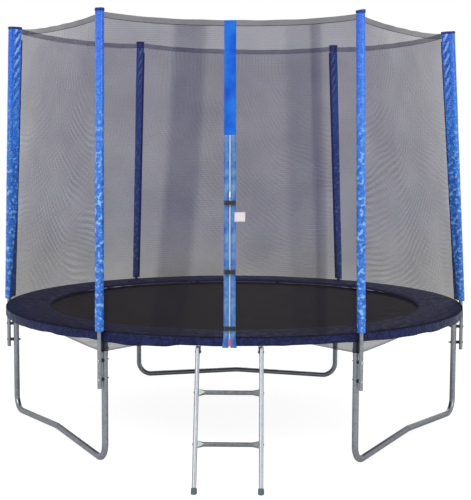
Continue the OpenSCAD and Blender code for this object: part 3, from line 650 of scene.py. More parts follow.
@dataclass(frozen=True)
class Foam(Finish):
    """Closed-cell foam whose open cells' hollows have a painted shade."""

    colour: Colour = linear(60, 60, 66)
    hollow_shade: Colour = linear(28, 28, 32)

    def make(self, tree: Tree) -> bpy.types.Material:
        """Small cells dent the surface and darken it in their hollows, a painted shade."""
        cell = Signal(tree, tree.cells(tree.place(), 900.0)[0])
        # Painted shade: the cells' hollows blend towards a darker colour.
        colour = tree.blend(cell.between(0.0, 0.6, 0.5, 0.0), self.colour, self.hollow_shade)
        return tree.finish(Base_Color=colour, Roughness=0.9, Normal=tree.bump(cell, 0.0005, 0.6))


@dataclass(frozen=True)
class Sheeting(Finish):
    """Woven plastic sheeting: a film-coated tape weave with creases, and gloss on top.

    colour is the sheet's own colour and deep a painted shade for its creases, dents and drawn
    flanks, crease is a crease's length, gloss the coat, smooth the colour high up, and highlight
    that of the painted highlights on crests and streaks.
    """

    colour: Colour = linear(34, 131, 243)
    # painted shade: creases, dents and drawn flanks blend towards this colour
    deep: Colour = linear(4, 56, 164)
    crease: float = 0.022
    creased: float = 0.003
    roughness: float = 0.28
    gloss: float = 0.8
    shine: float = 0.5
    # share of painted shade that the creases take
    folded: float = 0.6
    smooth: Colour = linear(6, 86, 232)
    # colour and share of the painted highlights on crests and streaks
    fleck: Colour = linear(150, 205, 255)
    highlights: float = 0.0
    weave: float = 0.0016

    def make(self, tree: Tree) -> bpy.types.Material:
        """Ridged noise gives creases with a painted shade, a fine weave the tapes, and noise fades
        the colour.

        Where highlights is above 0, crests of the crumpled film get a painted highlight, less so
        high up, dents a painted shade, and the mesh's shade number draws slanted painted highlight
        streaks on a ground of painted shade.
        """
        where, u, v = tree.cloth()
        big = tree.noise(where, 1.0 / self.crease, 3.0, 0.55)
        fold = abs(big - 0.5).between(0.0, 0.09, 1.0, 0.0)
        faded = tuple(min(1.0, 1.25 * c) for c in self.colour)
        fade = tree.noise(where, 9.0, 3.0).between(0.35, 0.75, 0.0, 0.35)
        share = fold * self.folded
        if self.highlights > 0:
            calm = v.between(0.75, 1.5, 1.0, 0.12)
            share = share * calm
        # Painted shade: the creases blend towards the darker colour.
        colour = tree.blend(share, tree.blend(fade, self.colour, faded), self.deep)
        if self.highlights > 0:
            # Painted light: crests and slanted streaks get a painted highlight, dents and drawn
            # flanks a painted shade.
            crest = tree.noise(where, 36.0, 2.0).between(0.53, 0.63)
            dent = tree.noise(where, 30.0, 2.0).between(0.37, 0.47, 1.0, 0.0)
            streak = (v - u * 2.0 + big * 0.03).wave(0.075).between(-0.1, 0.8) * tree.shade()
            pale = (crest * calm * self.highlights).math("MAXIMUM", streak)
            colour = tree.blend(v.between(1.1, 1.8, 0.0, 0.65), colour, self.smooth)
            colour = tree.blend(tree.shade() * 0.6, colour, self.deep)
            colour = tree.blend(dent * calm * 0.55, colour, self.deep)
            colour = tree.blend(pale, colour, self.fleck)
        creases = tree.bump(big + fold * -0.25, self.creased * 6, 0.8)
        tapes = u.wave(self.weave) * v.wave(self.weave)
        return tree.finish(
            Base_Color=colour,
            Roughness=big.between(0.3, 0.7, self.roughness - 0.1, self.roughness + 0.12),
            Specular_IOR_Level=self.shine, Coat_Weight=self.gloss, Coat_Roughness=0.16,
            Normal=tree.bump(tapes, 0.00008, 0.5, Normal=creases),
        )


@dataclass(frozen=True)
class Woven(Finish):
    """Woven cloth or webbing: crossing threads, with an optional row of stitches.

    stitch is the distance of the two stitch rows from the strip's middle line, or 0 for none.
    """

    colour: Colour = linear(44, 42, 46)
    thread: Colour = linear(66, 63, 68)
    period: float = 0.0018
    rib: float = 1.0
    roughness: float = 0.72
    sheen: float = 0.03
    stitch: float = 0.0
    stitch_colour: Colour = linear(120, 120, 126)
    cloud: float = 2.2
    mottle: float = 0.4

    def make(self, tree: Tree) -> bpy.types.Material:
        """Sines along and across the cloth cross into threads, and UV rows carry the stitches."""
        where, u, v = tree.cloth()
        cross = u.wave(self.period) * v.wave(self.period * self.rib)
        clouds = tree.noise(where, self.cloud, 5.0, 0.6).between(0.36, 0.64, 0.0, self.mottle)
        share = cross.between(-1.0, 1.0, 0.0, 1.0 - self.mottle) + clouds
        colour, height = tree.blend(share, self.colour, self.thread), cross
        if self.stitch > 0:
            row = abs(abs(v) - self.stitch).math("LESS_THAN", 0.0009)
            seam = row * u.wave(0.007).math("GREATER_THAN", -0.35)
            colour = tree.blend(seam, colour, self.stitch_colour)
            height = cross + seam * 3.0
        return tree.finish(
            Base_Color=colour, Roughness=self.roughness, Specular_IOR_Level=0.12,
            Sheen_Weight=self.sheen, Sheen_Roughness=0.5, Normal=tree.bump(height, 0.00025, 0.6),
        )


@dataclass(frozen=True)
class Mesh(Finish):
    """Knitted net: dark threads with small holes between, closer where the cloth is doubled.

    open_alpha and full_alpha are the cover over a hole and over a thread, and low is the greyer
    colour of the cloth's lowest part. The mesh's shade number adds cover where the cloth is closer.
    """

    thread: Colour = linear(26, 21, 60)
    lit: Colour = linear(38, 32, 78)
    period: float = 0.0035
    open_alpha: float = 0.13
    full_alpha: float = 0.37
    ripple: float = 0.03
    drawn: float = 0.06
    low: Colour = linear(31, 28, 38)

    def make(self, tree: Tree) -> bpy.types.Material:
        """Crossed sines give the knit's cover, and slow waves and noise its faint lines.

        The cover also waves along ellipses about the panel's upper corner on the door side, as
        cloth drawn to that corner does: sin of sqrt(across^2 + 0.7 down^2), patchy by noise.
        """
        where, u, v = tree.cloth()
        knit = u.wave(self.period) * v.wave(self.period * 1.25)
        patches = tree.noise(where, 5.0, 2.0).between(0.35, 0.65)
        down = 2.5 - v
        far = (u * u + down * down * 0.7).math("SQRT")
        reach = far.between(0.1, 0.5, 0.0, self.drawn) * far.between(1.1, 2.0, 1.0, 0.0)
        fan = (far + tree.noise(where, 1.6, 2.0) * 0.22).wave(0.03) * (reach * patches)
        lines = v.wave(0.012) * (patches * self.ripple) + fan
        cloud = tree.noise(where, 3.0, 3.0).between(0.3, 0.7, -0.035, 0.035)
        cover = knit.between(-1.0, 1.0, self.open_alpha, self.full_alpha)
        total = cover + lines + (cloud + tree.shade())
        tint = tree.blend(knit.between(-1.0, 1.0), self.thread, self.lit)
        return tree.finish(
            Base_Color=tree.blend(v.between(1.1, 1.4, 1.0, 0.0), tint, self.low),
            Roughness=0.85, Specular_IOR_Level=0.05,
            Alpha=total.math("MAXIMUM", 0.0).math("MINIMUM", 1.0),
            Normal=tree.bump(knit, 0.0002, 0.3),
        )


@dataclass(frozen=True)
class Twisted(Finish):
    """Twisted cord: strands that wind round it."""

    colour: Colour = linear(34, 34, 38)
    lit: Colour = linear(74, 74, 80)

    def make(self, tree: Tree) -> bpy.types.Material:
        """A sine of the distance along plus the distance round gives slanted strands."""
        _, u, v = tree.cloth()
        twist = (u + v).wave(0.0025)
        colour = tree.blend(twist.between(-1.0, 1.0), self.colour, self.lit)
        return tree.finish(Base_Color=colour, Roughness=0.75, Normal=tree.bump(twist, 0.0004, 0.8))


GALVANISED = Steel("galvanised tube")
ZINC = Steel(
    "bright zinc", linear(208, 210, 212), linear(168, 170, 174),
    crystal=400.0, roughness=0.3, metal=0.95,
)
LADDER_STEEL = Steel(
    "ladder tube", linear(184, 187, 193), linear(164, 168, 175),
    crystal=110.0, roughness=0.45, metal=0.8,
)
RUNG_STEEL = Steel(
    "rung tube", linear(138, 143, 144), linear(112, 118, 120),
    crystal=110.0, roughness=0.4, metal=0.9,
)
DARK_STEEL = Steel(
    "dark steel", linear(66, 66, 70), linear(38, 38, 42), crystal=300.0, roughness=0.45, metal=0.7
)
BLACK_PLASTIC = Moulded("black plastic")
BLACK_PAINT = Moulded(
    "black powder coat", linear(26, 26, 28), linear(60, 60, 62),
    roughness=0.42, grain=700.0, depth=0.0002,
)
RUBBER = Moulded(
    "foot rubber", linear(74, 92, 92), linear(112, 128, 126),
    roughness=0.75, grain=500.0, depth=0.0002,
)
ZIP_PLASTIC = Moulded(
    "pale zip plastic", linear(190, 210, 206), linear(168, 190, 190),
    roughness=0.35, grain=900.0, depth=0.0001,
)
PULL_PLASTIC = Moulded(
    "zip pull", linear(232, 236, 240), linear(200, 205, 212),
    roughness=0.35, grain=900.0, depth=0.0001,
)
POLE_FOAM = Foam("pole foam")
# Sheeting: the second colour is a painted shade for creases; the sleeve's crests and streaks also
# get painted highlights.
SLEEVE_BLUE = Sheeting("blue sleeve sheet", gloss=0.6, shine=0.45, highlights=0.85)
CAP_NAVY = Sheeting(
    "navy cap sheet", linear(18, 50, 128), linear(6, 16, 56),
    crease=0.014, creased=0.001, roughness=0.4, gloss=0.2, shine=0.3,
)
PAD_NAVY = Sheeting(
    "pad cover", linear(20, 34, 100), linear(8, 12, 42),
    crease=0.045, creased=0.0022, roughness=0.5, gloss=0.0, shine=0.1, folded=0.7,
)
SKIRT_NAVY = Sheeting(
    "skirt sheet", linear(27, 36, 82), linear(9, 12, 38),
    crease=0.05, roughness=0.42, gloss=0.05, shine=0.14, folded=0.75,
)
PIPING = Woven(
    "pad piping", linear(44, 50, 92), linear(66, 72, 118), period=0.0012, roughness=0.6, sheen=0.0
)
MAT_CLOTH = Woven(
    "mat cloth", linear(31, 28, 12), linear(70, 66, 42),
    period=0.0022, roughness=0.7, sheen=0.0, cloud=7.0, mottle=0.45,
)
MAT_WEB = Woven(
    "mat webbing", linear(34, 33, 34), linear(58, 57, 58),
    period=0.0024, rib=2.0, roughness=0.75, sheen=0.0, stitch=0.018,
)
STRAP_WEB = Woven(
    "strap webbing", linear(26, 27, 48), linear(52, 54, 84),
    period=0.0022, rib=2.0, roughness=0.7, sheen=0.15, stitch=0.0095,
)
NET = Mesh("knitted net")
HEM = Mesh(
    "folded net hem", linear(30, 26, 48), linear(42, 38, 64), period=0.0032,
    open_alpha=0.30, full_alpha=0.48, ripple=0.02, drawn=0.0, low=linear(36, 32, 56),
)
SEAM = Woven(
    "pole seam", linear(20, 34, 92), linear(34, 52, 120),
    period=0.0022, roughness=0.75, sheen=0.1, stitch=0.0028,
)
TAPE_BRIGHT = Woven(
    "bright door tape", linear(4, 66, 184), linear(28, 116, 218),
    period=0.002, rib=1.6, roughness=0.55, sheen=0.02,
    stitch=0.029, stitch_colour=linear(40, 120, 220), cloud=9.0, mottle=0.75,
)
TAPE_DULL = Woven(
    "door tape", linear(22, 84, 172), linear(112, 154, 198),
    period=0.002, rib=1.6, roughness=0.62, sheen=0.02,
    stitch=0.011, stitch_colour=linear(10, 60, 150), cloud=14.0, mottle=0.8,
)
ZIP_CLOTH = Woven(
    "zip cloth", linear(150, 190, 192), linear(184, 214, 212),
    period=0.0011, roughness=0.6, sheen=0.02,
)
END_TACK = Woven(
    "zip end tack", linear(150, 70, 104), linear(196, 128, 156),
    period=0.0014, roughness=0.6, sheen=0.02,
)
TAG_CLOTH = Woven(
    "tag cloth", linear(206, 198, 202), linear(226, 218, 222),
    period=0.0011, roughness=0.5, sheen=0.02, stitch=0.024, stitch_colour=linear(180, 176, 182),
)
CORD = Twisted("tie cord")


# ------------------------------------------------------------------ studio


@dataclass
class Studio:
    """Camera, pale floor, lamps and plain world."""

    eye: tuple[float, float, float] = (0.1396, -8.1753, 1.885)
    yaw: float = 0.0163
    pitch: float = 0.0922
    roll: float = 0.0043
    lens: float = 86.76
    floor_half: float = 60.0
    sky: float = 0.62
    aim: tuple[float, float, float] = (0.0, 0.0, 1.1)

    def build(self) -> None:
        """Makes the camera, the floor, the world and the lamps."""
        self.camera()
        self.floor()
        self.world()
        for name, spot, power in (
            ("key", (-4.5, -6.5, 7.0), 420.0),
            ("fill", (6.0, -5.0, 4.0), 190.0),
            ("back", (1.5, 7.0, 6.0), 190.0),
        ):
            self.lamp(name, Vector(spot), 5.0, power)

    def camera(self) -> None:
        """Places the camera: right, up and back are the columns of its turn."""
        cp = math.cos(self.pitch)
        level = Vector((math.cos(self.yaw), math.sin(self.yaw), 0.0))
        ahead = Vector((-level.y * cp, level.x * cp, -math.sin(self.pitch)))
        right = level * math.cos(self.roll) + level.cross(ahead) * math.sin(self.roll)
        data = bpy.data.cameras.new("camera")
        data.lens, data.sensor_width = self.lens, 36.0
        data.clip_start, data.clip_end = 0.05, 200.0
        eye = bpy.data.objects.new("camera", data)
        turn = Matrix((right, right.cross(ahead), -ahead)).transposed().to_4x4()
        eye.matrix_world = Matrix.Translation(self.eye) @ turn
        bpy.context.scene.collection.objects.link(eye)
        bpy.context.scene.camera = eye

    def floor(self) -> None:
        """Pale floor that keeps a faint shadow, with a glow stronger near the middle that paints
        light over it, and melts into the white behind.
        """
        build = Builder("floor")
        ends = np.array([-1.0, 1.0])
        build.grid(raised(crossed(ends, ends) * self.floor_half, -0.0004), np.zeros((2, 2, 2)))
        tree = Tree(bpy.data.materials.new("pale floor"))
        paper = tree.blend(tree.noise(tree.place(), 3.0), (0.78,) * 3, (0.82,) * 3)
        matt = tree.add("BsdfDiffuse", Color=paper)
        lit = tree.add("BsdfDiffuse", Color=(0.3,) * 3)
        away = tree.add("VectorMath", operation="LENGTH", Vector=tree.place()).outputs["Value"]
        # Painted light: the floor's glow rises towards the middle to lighten the trampoline's
        # shadow there.
        strength = Signal(tree, away).between(1.5, 6.0, 0.9, 0.815)
        glow = tree.add("Emission", Color=(1.0,) * 3, Strength=strength)
        white = tree.join("AddShader", lit, glow)
        build.mesh(tree.end(tree.join("MixShader", tree.seen(), matt, white)))

    def world(self) -> None:
        """Even pale light, seen as plain white."""
        tree = Tree(bpy.data.worlds.new("studio"), "World")
        light = tree.add("Background", Color=(0.97, 0.985, 1.0), Strength=self.sky)
        white = tree.add("Background", Color=(1.0,) * 3, Strength=1.0)
        scene = bpy.context.scene
        scene.world = tree.end(tree.join("MixShader", tree.seen(), light, white))
        scene.view_settings.view_transform = "Standard"

    def lamp(self, name: str, spot: Vector, size: float, power: float) -> None:
        """Adds a soft square lamp that looks at the middle of the trampoline."""
        data = bpy.data.lights.new(name, "AREA")
        data.size, data.energy = size, power
        lamp = bpy.data.objects.new(name, data)
        lamp.location = spot
        lamp.rotation_mode = "QUATERNION"
        lamp.rotation_quaternion = (Vector(self.aim) - spot).to_track_quat("-Z", "Y")
        bpy.context.scene.collection.objects.link(lamp)


# ------------------------------------------------------------------ springs and mat


@dataclass
class Springs:
    """Sixty closely wound springs between the frame's holes and the mat's V rings."""

    radius: float = 0.010
    wire: float = 0.0016
    coil_out: float = 1.472
    coil_in: float = 1.362
    hook_out: float = 1.494
    hook_in: float = 1.3503
    hook_r: float = 0.006
    still_out: float = 0.008
    still_in: float = 0.004
    height: float = 0.7521
    turn_steps: int = 10

    def line(self) -> tuple[Array, Array]:
        """Centreline of one spring's wire, with radii along X.

        Outer hook: a quarter circle up from below into the axis. Coil: x runs inwards while
        (y, z) = R (sin t, cos t). Inner hook: the outer one mirrored. R fades to 0 at both ends.

        Returns:
            Points (radius, side, up) and the directions from the axis out.
        """
        turns = round((self.coil_out - self.coil_in) / (2 * self.wire * 1.02))
        t = np.linspace(0, TURN * turns, turns * self.turn_steps + 1)
        x = self.coil_out + (self.coil_in - self.coil_out) * (t / t[-1])
        fade = smooth_step(np.minimum(t, t[-1] - t), 0.0, 0.9 * math.pi)
        r = np.maximum((self.radius - self.wire) * fade, 0.0004)
        coil = np.stack([x, r * np.sin(t), r * np.cos(t)], -1)
        a = np.linspace(math.pi / 2, 0, 6)
        drop = self.hook_r * (np.cos(a) - 1)
        out = np.stack([self.hook_out - self.hook_r * (1 - np.sin(a)), 0 * a, drop], -1)
        inner = np.stack([self.hook_in + self.hook_r * (1 - np.sin(a)), 0 * a, drop], -1)[::-1]
        side = np.tile([0, 1.0, 0], (6, 1))
        away = np.concatenate([side, np.stack([0 * t, np.sin(t), np.cos(t)], -1), side])
        return np.concatenate([out, coil, inner]), away

    def build(self) -> None:
        """Makes the springs, each hooked from the frame to the mat."""
        path, away = self.line()
        for i in range(6):
            for k, out in enumerate(PLAN.holes(i)):
                turn = np.array([[out[0], out[1], 0], [-out[1], out[0], 0], [0, 0, 1.0]])
                build = Builder(f"spring_{i}_{k}")
                build.tube(path @ turn + self.height * UP, away @ turn, self.wire, 5)
                piece = build.mesh(ZINC.material())
                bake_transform(piece)
                if i == k == 0:
                    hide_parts("springs")


@dataclass
class Mat:
    """Jumping mat with its doubled webbing edge and the loops for the V rings.

    hang is how far the cloth's middle lies low, tug the waves near the springs, pulled their reach.
    """

    radius: float = 1.318
    height: float = 0.748
    thickness: float = 0.003
    border: float = 0.045
    border_t: float = 0.002
    turn: float = 0.0012
    sewn: float = 0.0005
    hang: float = 0.004
    tug: float = 0.0004
    pulled: float = 0.16
    steps: int = 360
    loop_at: float = 0.0025
    loop: tuple[float, float] = (0.0055, 0.0031)
    loop_half: float = 0.011

    def surface(self, r: Array | float, a: Array | float) -> Array:
        """Height of the taut cloth: a faint hang in the middle and faint pulls near the springs."""
        pull = np.cos(np.radians(a) * len(PLAN.azimuths) * PLAN.springs)
        pull = pull * smooth_step(r, self.radius - self.pulled, self.radius)
        return self.height - self.hang * (1 - (r / self.radius) ** 2) + self.tug * pull

    def build(self) -> None:
        """Makes the cloth, its border and the ring loops."""
        a = np.arange(self.steps + 1) * 360.0 / self.steps
        self.cloth(a)
        self.edge(a)

    def cloth(self, a: Array) -> None:
        """The woven cloth, one flat round sheet, closed in its middle by one small face."""
        build = Builder("mat_cloth")
        r = np.linspace(0.02, self.radius, 34)
        uv = PLAN.around(a)[:, None] * r[:, None]
        build.cap(build.grid(raised(uv[:-1], self.surface(r, a[:-1, None])), uv, 1, True)[:, 0])
        piece = build.settle(MAT_CLOTH, Body.MAT, Slot.MAT, "jump_mat", wall=self.thickness * 0.6)

    def edge(self, a: Array) -> None:
        """Webbing above, below and round the cloth's edge, with a loop round each V ring.

        Across it the height is the cloth's, plus a low bulge where it is sewn at both edges. The
        turn round the edge is half a circle.
        """
        outer, inner = self.radius + 0.001, self.radius - self.border
        half, mid = self.thickness / 2 + self.border_t * 0.6, (inner + outer) / 2
        v = np.linspace(0, 1, 9)
        r = inner + (outer - inner) * v
        lift = half + self.sewn * np.sin(v * math.pi) ** 0.5
        t = np.linspace(math.pi / 2, -math.pi / 2, 7)
        spokes, angle = PLAN.around(a[:-1])[:, None], np.radians(a)
        build = Builder("mat_border")
        for side in (1, -1):
            z = side * lift + self.surface(r, a[:-1, None])
            build.grid(raised(spokes * r[:, None], z), crossed(angle * mid, r - mid), 1, side > 0)
        r, z = outer + self.turn * np.cos(t), self.surface(outer, 0.0) + half * np.sin(t)
        uv = crossed(angle * outer, 0.5 + t / 100)
        build.grid(raised(spokes * r[:, None], z), uv, 1, True)
        for i in range(6):
            for out in PLAN.holes(i):
                self.add_loop(build, out)
        piece = build.settle(MAT_WEB, Body.MAT, Slot.WEBBING, "mat_border", wall=self.turn)

    def add_loop(self, build: Builder, out: Array) -> None:
        """Adds a short webbing loop round a V ring: an ellipse carried across it."""
        t = np.arange(14) * TURN / 14
        r = self.radius + self.loop_at + self.loop[0] * np.cos(t)
        across = np.linspace(-self.loop_half, self.loop_half, 3)[None, :, None]
        plan = r[:, None, None] * out + across * np.array([-out[1], out[0]])
        z = (self.height + self.loop[1] * np.sin(t))[:, None]
        build.grid(raised(plan, z), np.zeros((15, 3, 2)), 1, True)


# ------------------------------------------------------------------ pad and skirt


@dataclass
class SpringPad:
    """Padded ring over the springs, in six sewn sections, with its skirt and straps.

    seam_at is the cross seams' angle past the poles, seam_w the width that they pull down, uneven
    the skirt's ragged lower edge, and droops how far it hangs beside the door and at the sides.
    """

    inner: float = 1.2437
    outer: float = 1.5287
    base: float = 0.7675
    edge_t: float = 0.006
    full_t: float = 0.021
    puff: float = 0.4
    seam_at: float = 3.0
    seam_w: float = 0.025
    pipe_r: float = 0.0021
    skirt_r: float = 1.5332
    skirt_top: float = 0.7775
    skirt_low: float = 0.729
    skirt_uv: float = 0.0485
    uneven: float = 0.0035
    droops: tuple[float, float] = (0.016, 0.006)
    strap_w: float = 0.025
    strap_gap: float = 0.0007
    strap_t: float = 0.001
    steps: int = 720

    def build(self) -> None:
        """Makes the ring, its piping, the skirt and the straps."""
        a = np.arange(self.steps + 1) * 360.0 / self.steps
        self.ring(a)
        self.piping(a)
        self.skirt(a)
        self.straps()

    def ring(self, a: Array) -> None:
        """The padded ring.

        Over the flat under side the top stands edge + (full - edge) sin(pi x)^puff. Cross seams
        pull it down near them, and waves along the ring give shallow puckers near both edges.
        """
        x = np.concatenate([np.linspace(0, 1, 9), np.linspace(1, 0, 25)[1:-1]])
        top = (np.arange(len(x)) > 8) * 1.0
        arch = np.sin(np.pi * x) ** self.puff
        off = (a[:-1, None] - np.array(PLAN.azimuths) - self.seam_at + 180.0) % 360.0 - 180.0
        seam = np.abs(off).min(-1) * math.radians(1.0) * self.outer
        near = 1 - smooth_step(seam, 0.0, self.seam_w)
        r = self.inner + (self.outer - self.inner) * x
        spot = raised(PLAN.around(a[:-1])[:, None] * r[None, :, None], 0.0)
        rise = self.edge_t + (self.full_t - self.edge_t) * arch[None] * (1 - 0.55 * near[:, None])
        pucker = crumple(spot, 0.085, 3, 0.5) * 0.0016 * np.clip(4 * x * (1 - x), 0, 1)
        rise = rise + pucker + crumple(spot, 0.4, 4) * 0.0015 * arch
        lift = np.minimum(rise, self.full_t + 0.0012)
        girth = np.cumsum(np.hypot(np.diff(r), np.diff(top * self.full_t)))
        girth = np.concatenate([[0.0], girth, girth[-1:] + self.edge_t])
        build = Builder("spring_pad")
        uv = crossed(np.radians(a) * 1.39, girth)
        build.grid(raised(spot[..., :2], self.base + top[None] * lift), uv, 2)
        piece = build.settle(PAD_NAVY, Body.FRAME, Slot.PAD, "spring_pad", sharp=75.0)

    def piping(self, a: Array) -> None:
        """Piping along the inner and the outer edge and the raised cross seams."""
        build = Builder("pad_piping")
        t = np.arange(9)[:, None] * TURN / 8
        out = raised(PLAN.around(a[:-1]), 0.0)
        for r, z in ((self.inner + 0.0015, 0.0062), (self.outer - 0.0022, 0.0064)):
            pts = out * r + (self.base + z) * UP + self.pipe_r * circle(t[:-1], out)
            uv = crossed(t[:, 0] * self.pipe_r, np.radians(a) * r)
            build.grid(pts, uv, 2, True)
        x = np.linspace(0.02, 0.98, 40)
        r = self.inner + (self.outer - self.inner) * x
        lift = (self.full_t - self.edge_t) * np.sin(np.pi * x) ** self.puff * 0.45 + 0.0006
        for azimuth in PLAN.azimuths:
            plan = r[:, None] * PLAN.around(azimuth + self.seam_at)
            build.tube(raised(plan, self.base + self.edge_t + lift), UP, 0.0016, 6)
        build.settle(PIPING, Body.FRAME, Slot.PAD, "spring_pad")

    def skirt(self, a: Array) -> None:
        """Skirt sheet round the frame's outside.

        It hangs from the pad's edge, with waves along its length that grow downwards. Its lower
        edge rises and dips by a few millimetres, and droops left of the door and at both sides.
        """
        t = np.linspace(0, 1, 9)
        around = PLAN.around(a[:-1])
        flat = raised(around, 0.0) * self.outer
        wave = crumple(flat, 0.16, 11) * 0.55 + crumple(flat, 0.06, 12, 0.4) * 0.45
        low = self.skirt_low + self.uneven * (1 + crumple(flat, 0.22, 13))
        turn = (a[:-1] + 180.0) % 360.0 - 180.0
        droop = smooth_step(turn, -31.0, -24.0) * (1 - smooth_step(turn, -14.0, -9.5))
        side = smooth_step(-np.abs(np.abs(turn) - 60.0), -40.0, -10.0)
        low = low - self.droops[0] * droop - self.droops[1] * side
        z = self.skirt_top + (low[:, None] - self.skirt_top) * t[None]
        bulge = 0.0016 + 0.0013 * wave[:, None] * t[None] ** 0.7
        r = self.skirt_r + np.clip(bulge, 0.0002, 0.0031)
        build = Builder("pad_skirt")
        uv = crossed(np.radians(a) * self.outer, -t * self.skirt_uv)
        build.grid(raised(around[:, None] * r[..., None], z), uv, 1, True)
        piece = build.settle(SKIRT_NAVY, Body.FRAME, Slot.SKIRT, "pad_skirt", wall=0.0008)

    def straps(self) -> None:
        """Two webbing straps a rail that hold the pad: flat bands round the tube."""
        inner = PLAN.rail_r + self.strap_gap
        t = np.arange(37)[:, None] * TURN / 36
        span = np.linspace(-1.0, 1.0, 7)
        band = inner * (1 + 0.015 * np.cos(span * 1.5))[None]
        half = math.degrees(self.strap_w / 2 / PLAN.ring_r)
        for i in range(6):
            a0, a1 = PLAN.sweep(i)
            for k in (1, 2):
                gap = (a1 - a0 - 2 * PLAN.margin) / (PLAN.springs - 1)
                mid = a0 + PLAN.margin + (4 * k - 1.5) * gap
                r = PLAN.ring_r + band * np.cos(t[:-1])
                plan = PLAN.around(mid + half * span)[None] * r[..., None]
                build = Builder(f"pad_strap_{i}_{k}")
                uv = crossed(t[:, 0] * inner, span * self.strap_w / 2)
                build.grid(raised(plan, PLAN.ring_z + band * np.sin(t[:-1])), uv, 1, True)
                piece = build.settle(
                    STRAP_WEB, Body.FRAME, Slot.WEBBING, "pad_straps",
                    wall=self.strap_t, offset=1.0,
                )


# ------------------------------------------------------------------ net


@dataclass(frozen=True)
class Band:
    """Doubled or gathered stretch of a net panel, from top to bottom of it.

    top and low are its middle's shares across at the panel's upper and lower edge, bow how far it
    bends out between, half its half width as a share, and more the extra cover.
    """

    top: float
    low: float
    half: float
    more: float
    bow: float = 0.0
    soft: float = 0.35


class Side(Enum):
    """Net panels: name of the node, number, and first and last share across."""

    RIGHT = ("net_right", 0, 0.0, 1.0)
    REAR_RIGHT = ("net_rear_right", 1, 0.0, 1.0)
    REAR = ("net_rear", 2, 0.0, 1.0)
    REAR_LEFT = ("net_rear_left", 3, 0.0, 1.0)
    LEFT = ("net_left", 4, 0.0, 1.0)
    FRONT_LEFT = ("net_front_left", 5, 0.0, 0.5)
    FRONT_RIGHT = ("net_front_right", 5, 0.5, 1.0)


# Share across at which each panel's drawn corner lies. It is far off the evenly drawn front panel.
CORNERS = (0.0, 0.0, 0.0, 1.0, 1.0, 10.0)
BANDS: dict[Side, tuple[Band, ...]] = {
    Side.FRONT_LEFT: (Band(0.345, 0.265, 0.062, 0.11, 0.012, 0.3),),
    Side.REAR: (Band(0.5, 0.5, 0.3, 0.08, 0.0, 0.6),),
    Side.FRONT_RIGHT: (Band(0.775, 0.79, 0.06, 0.07), Band(0.835, 0.85, 0.022, 0.10)),
}


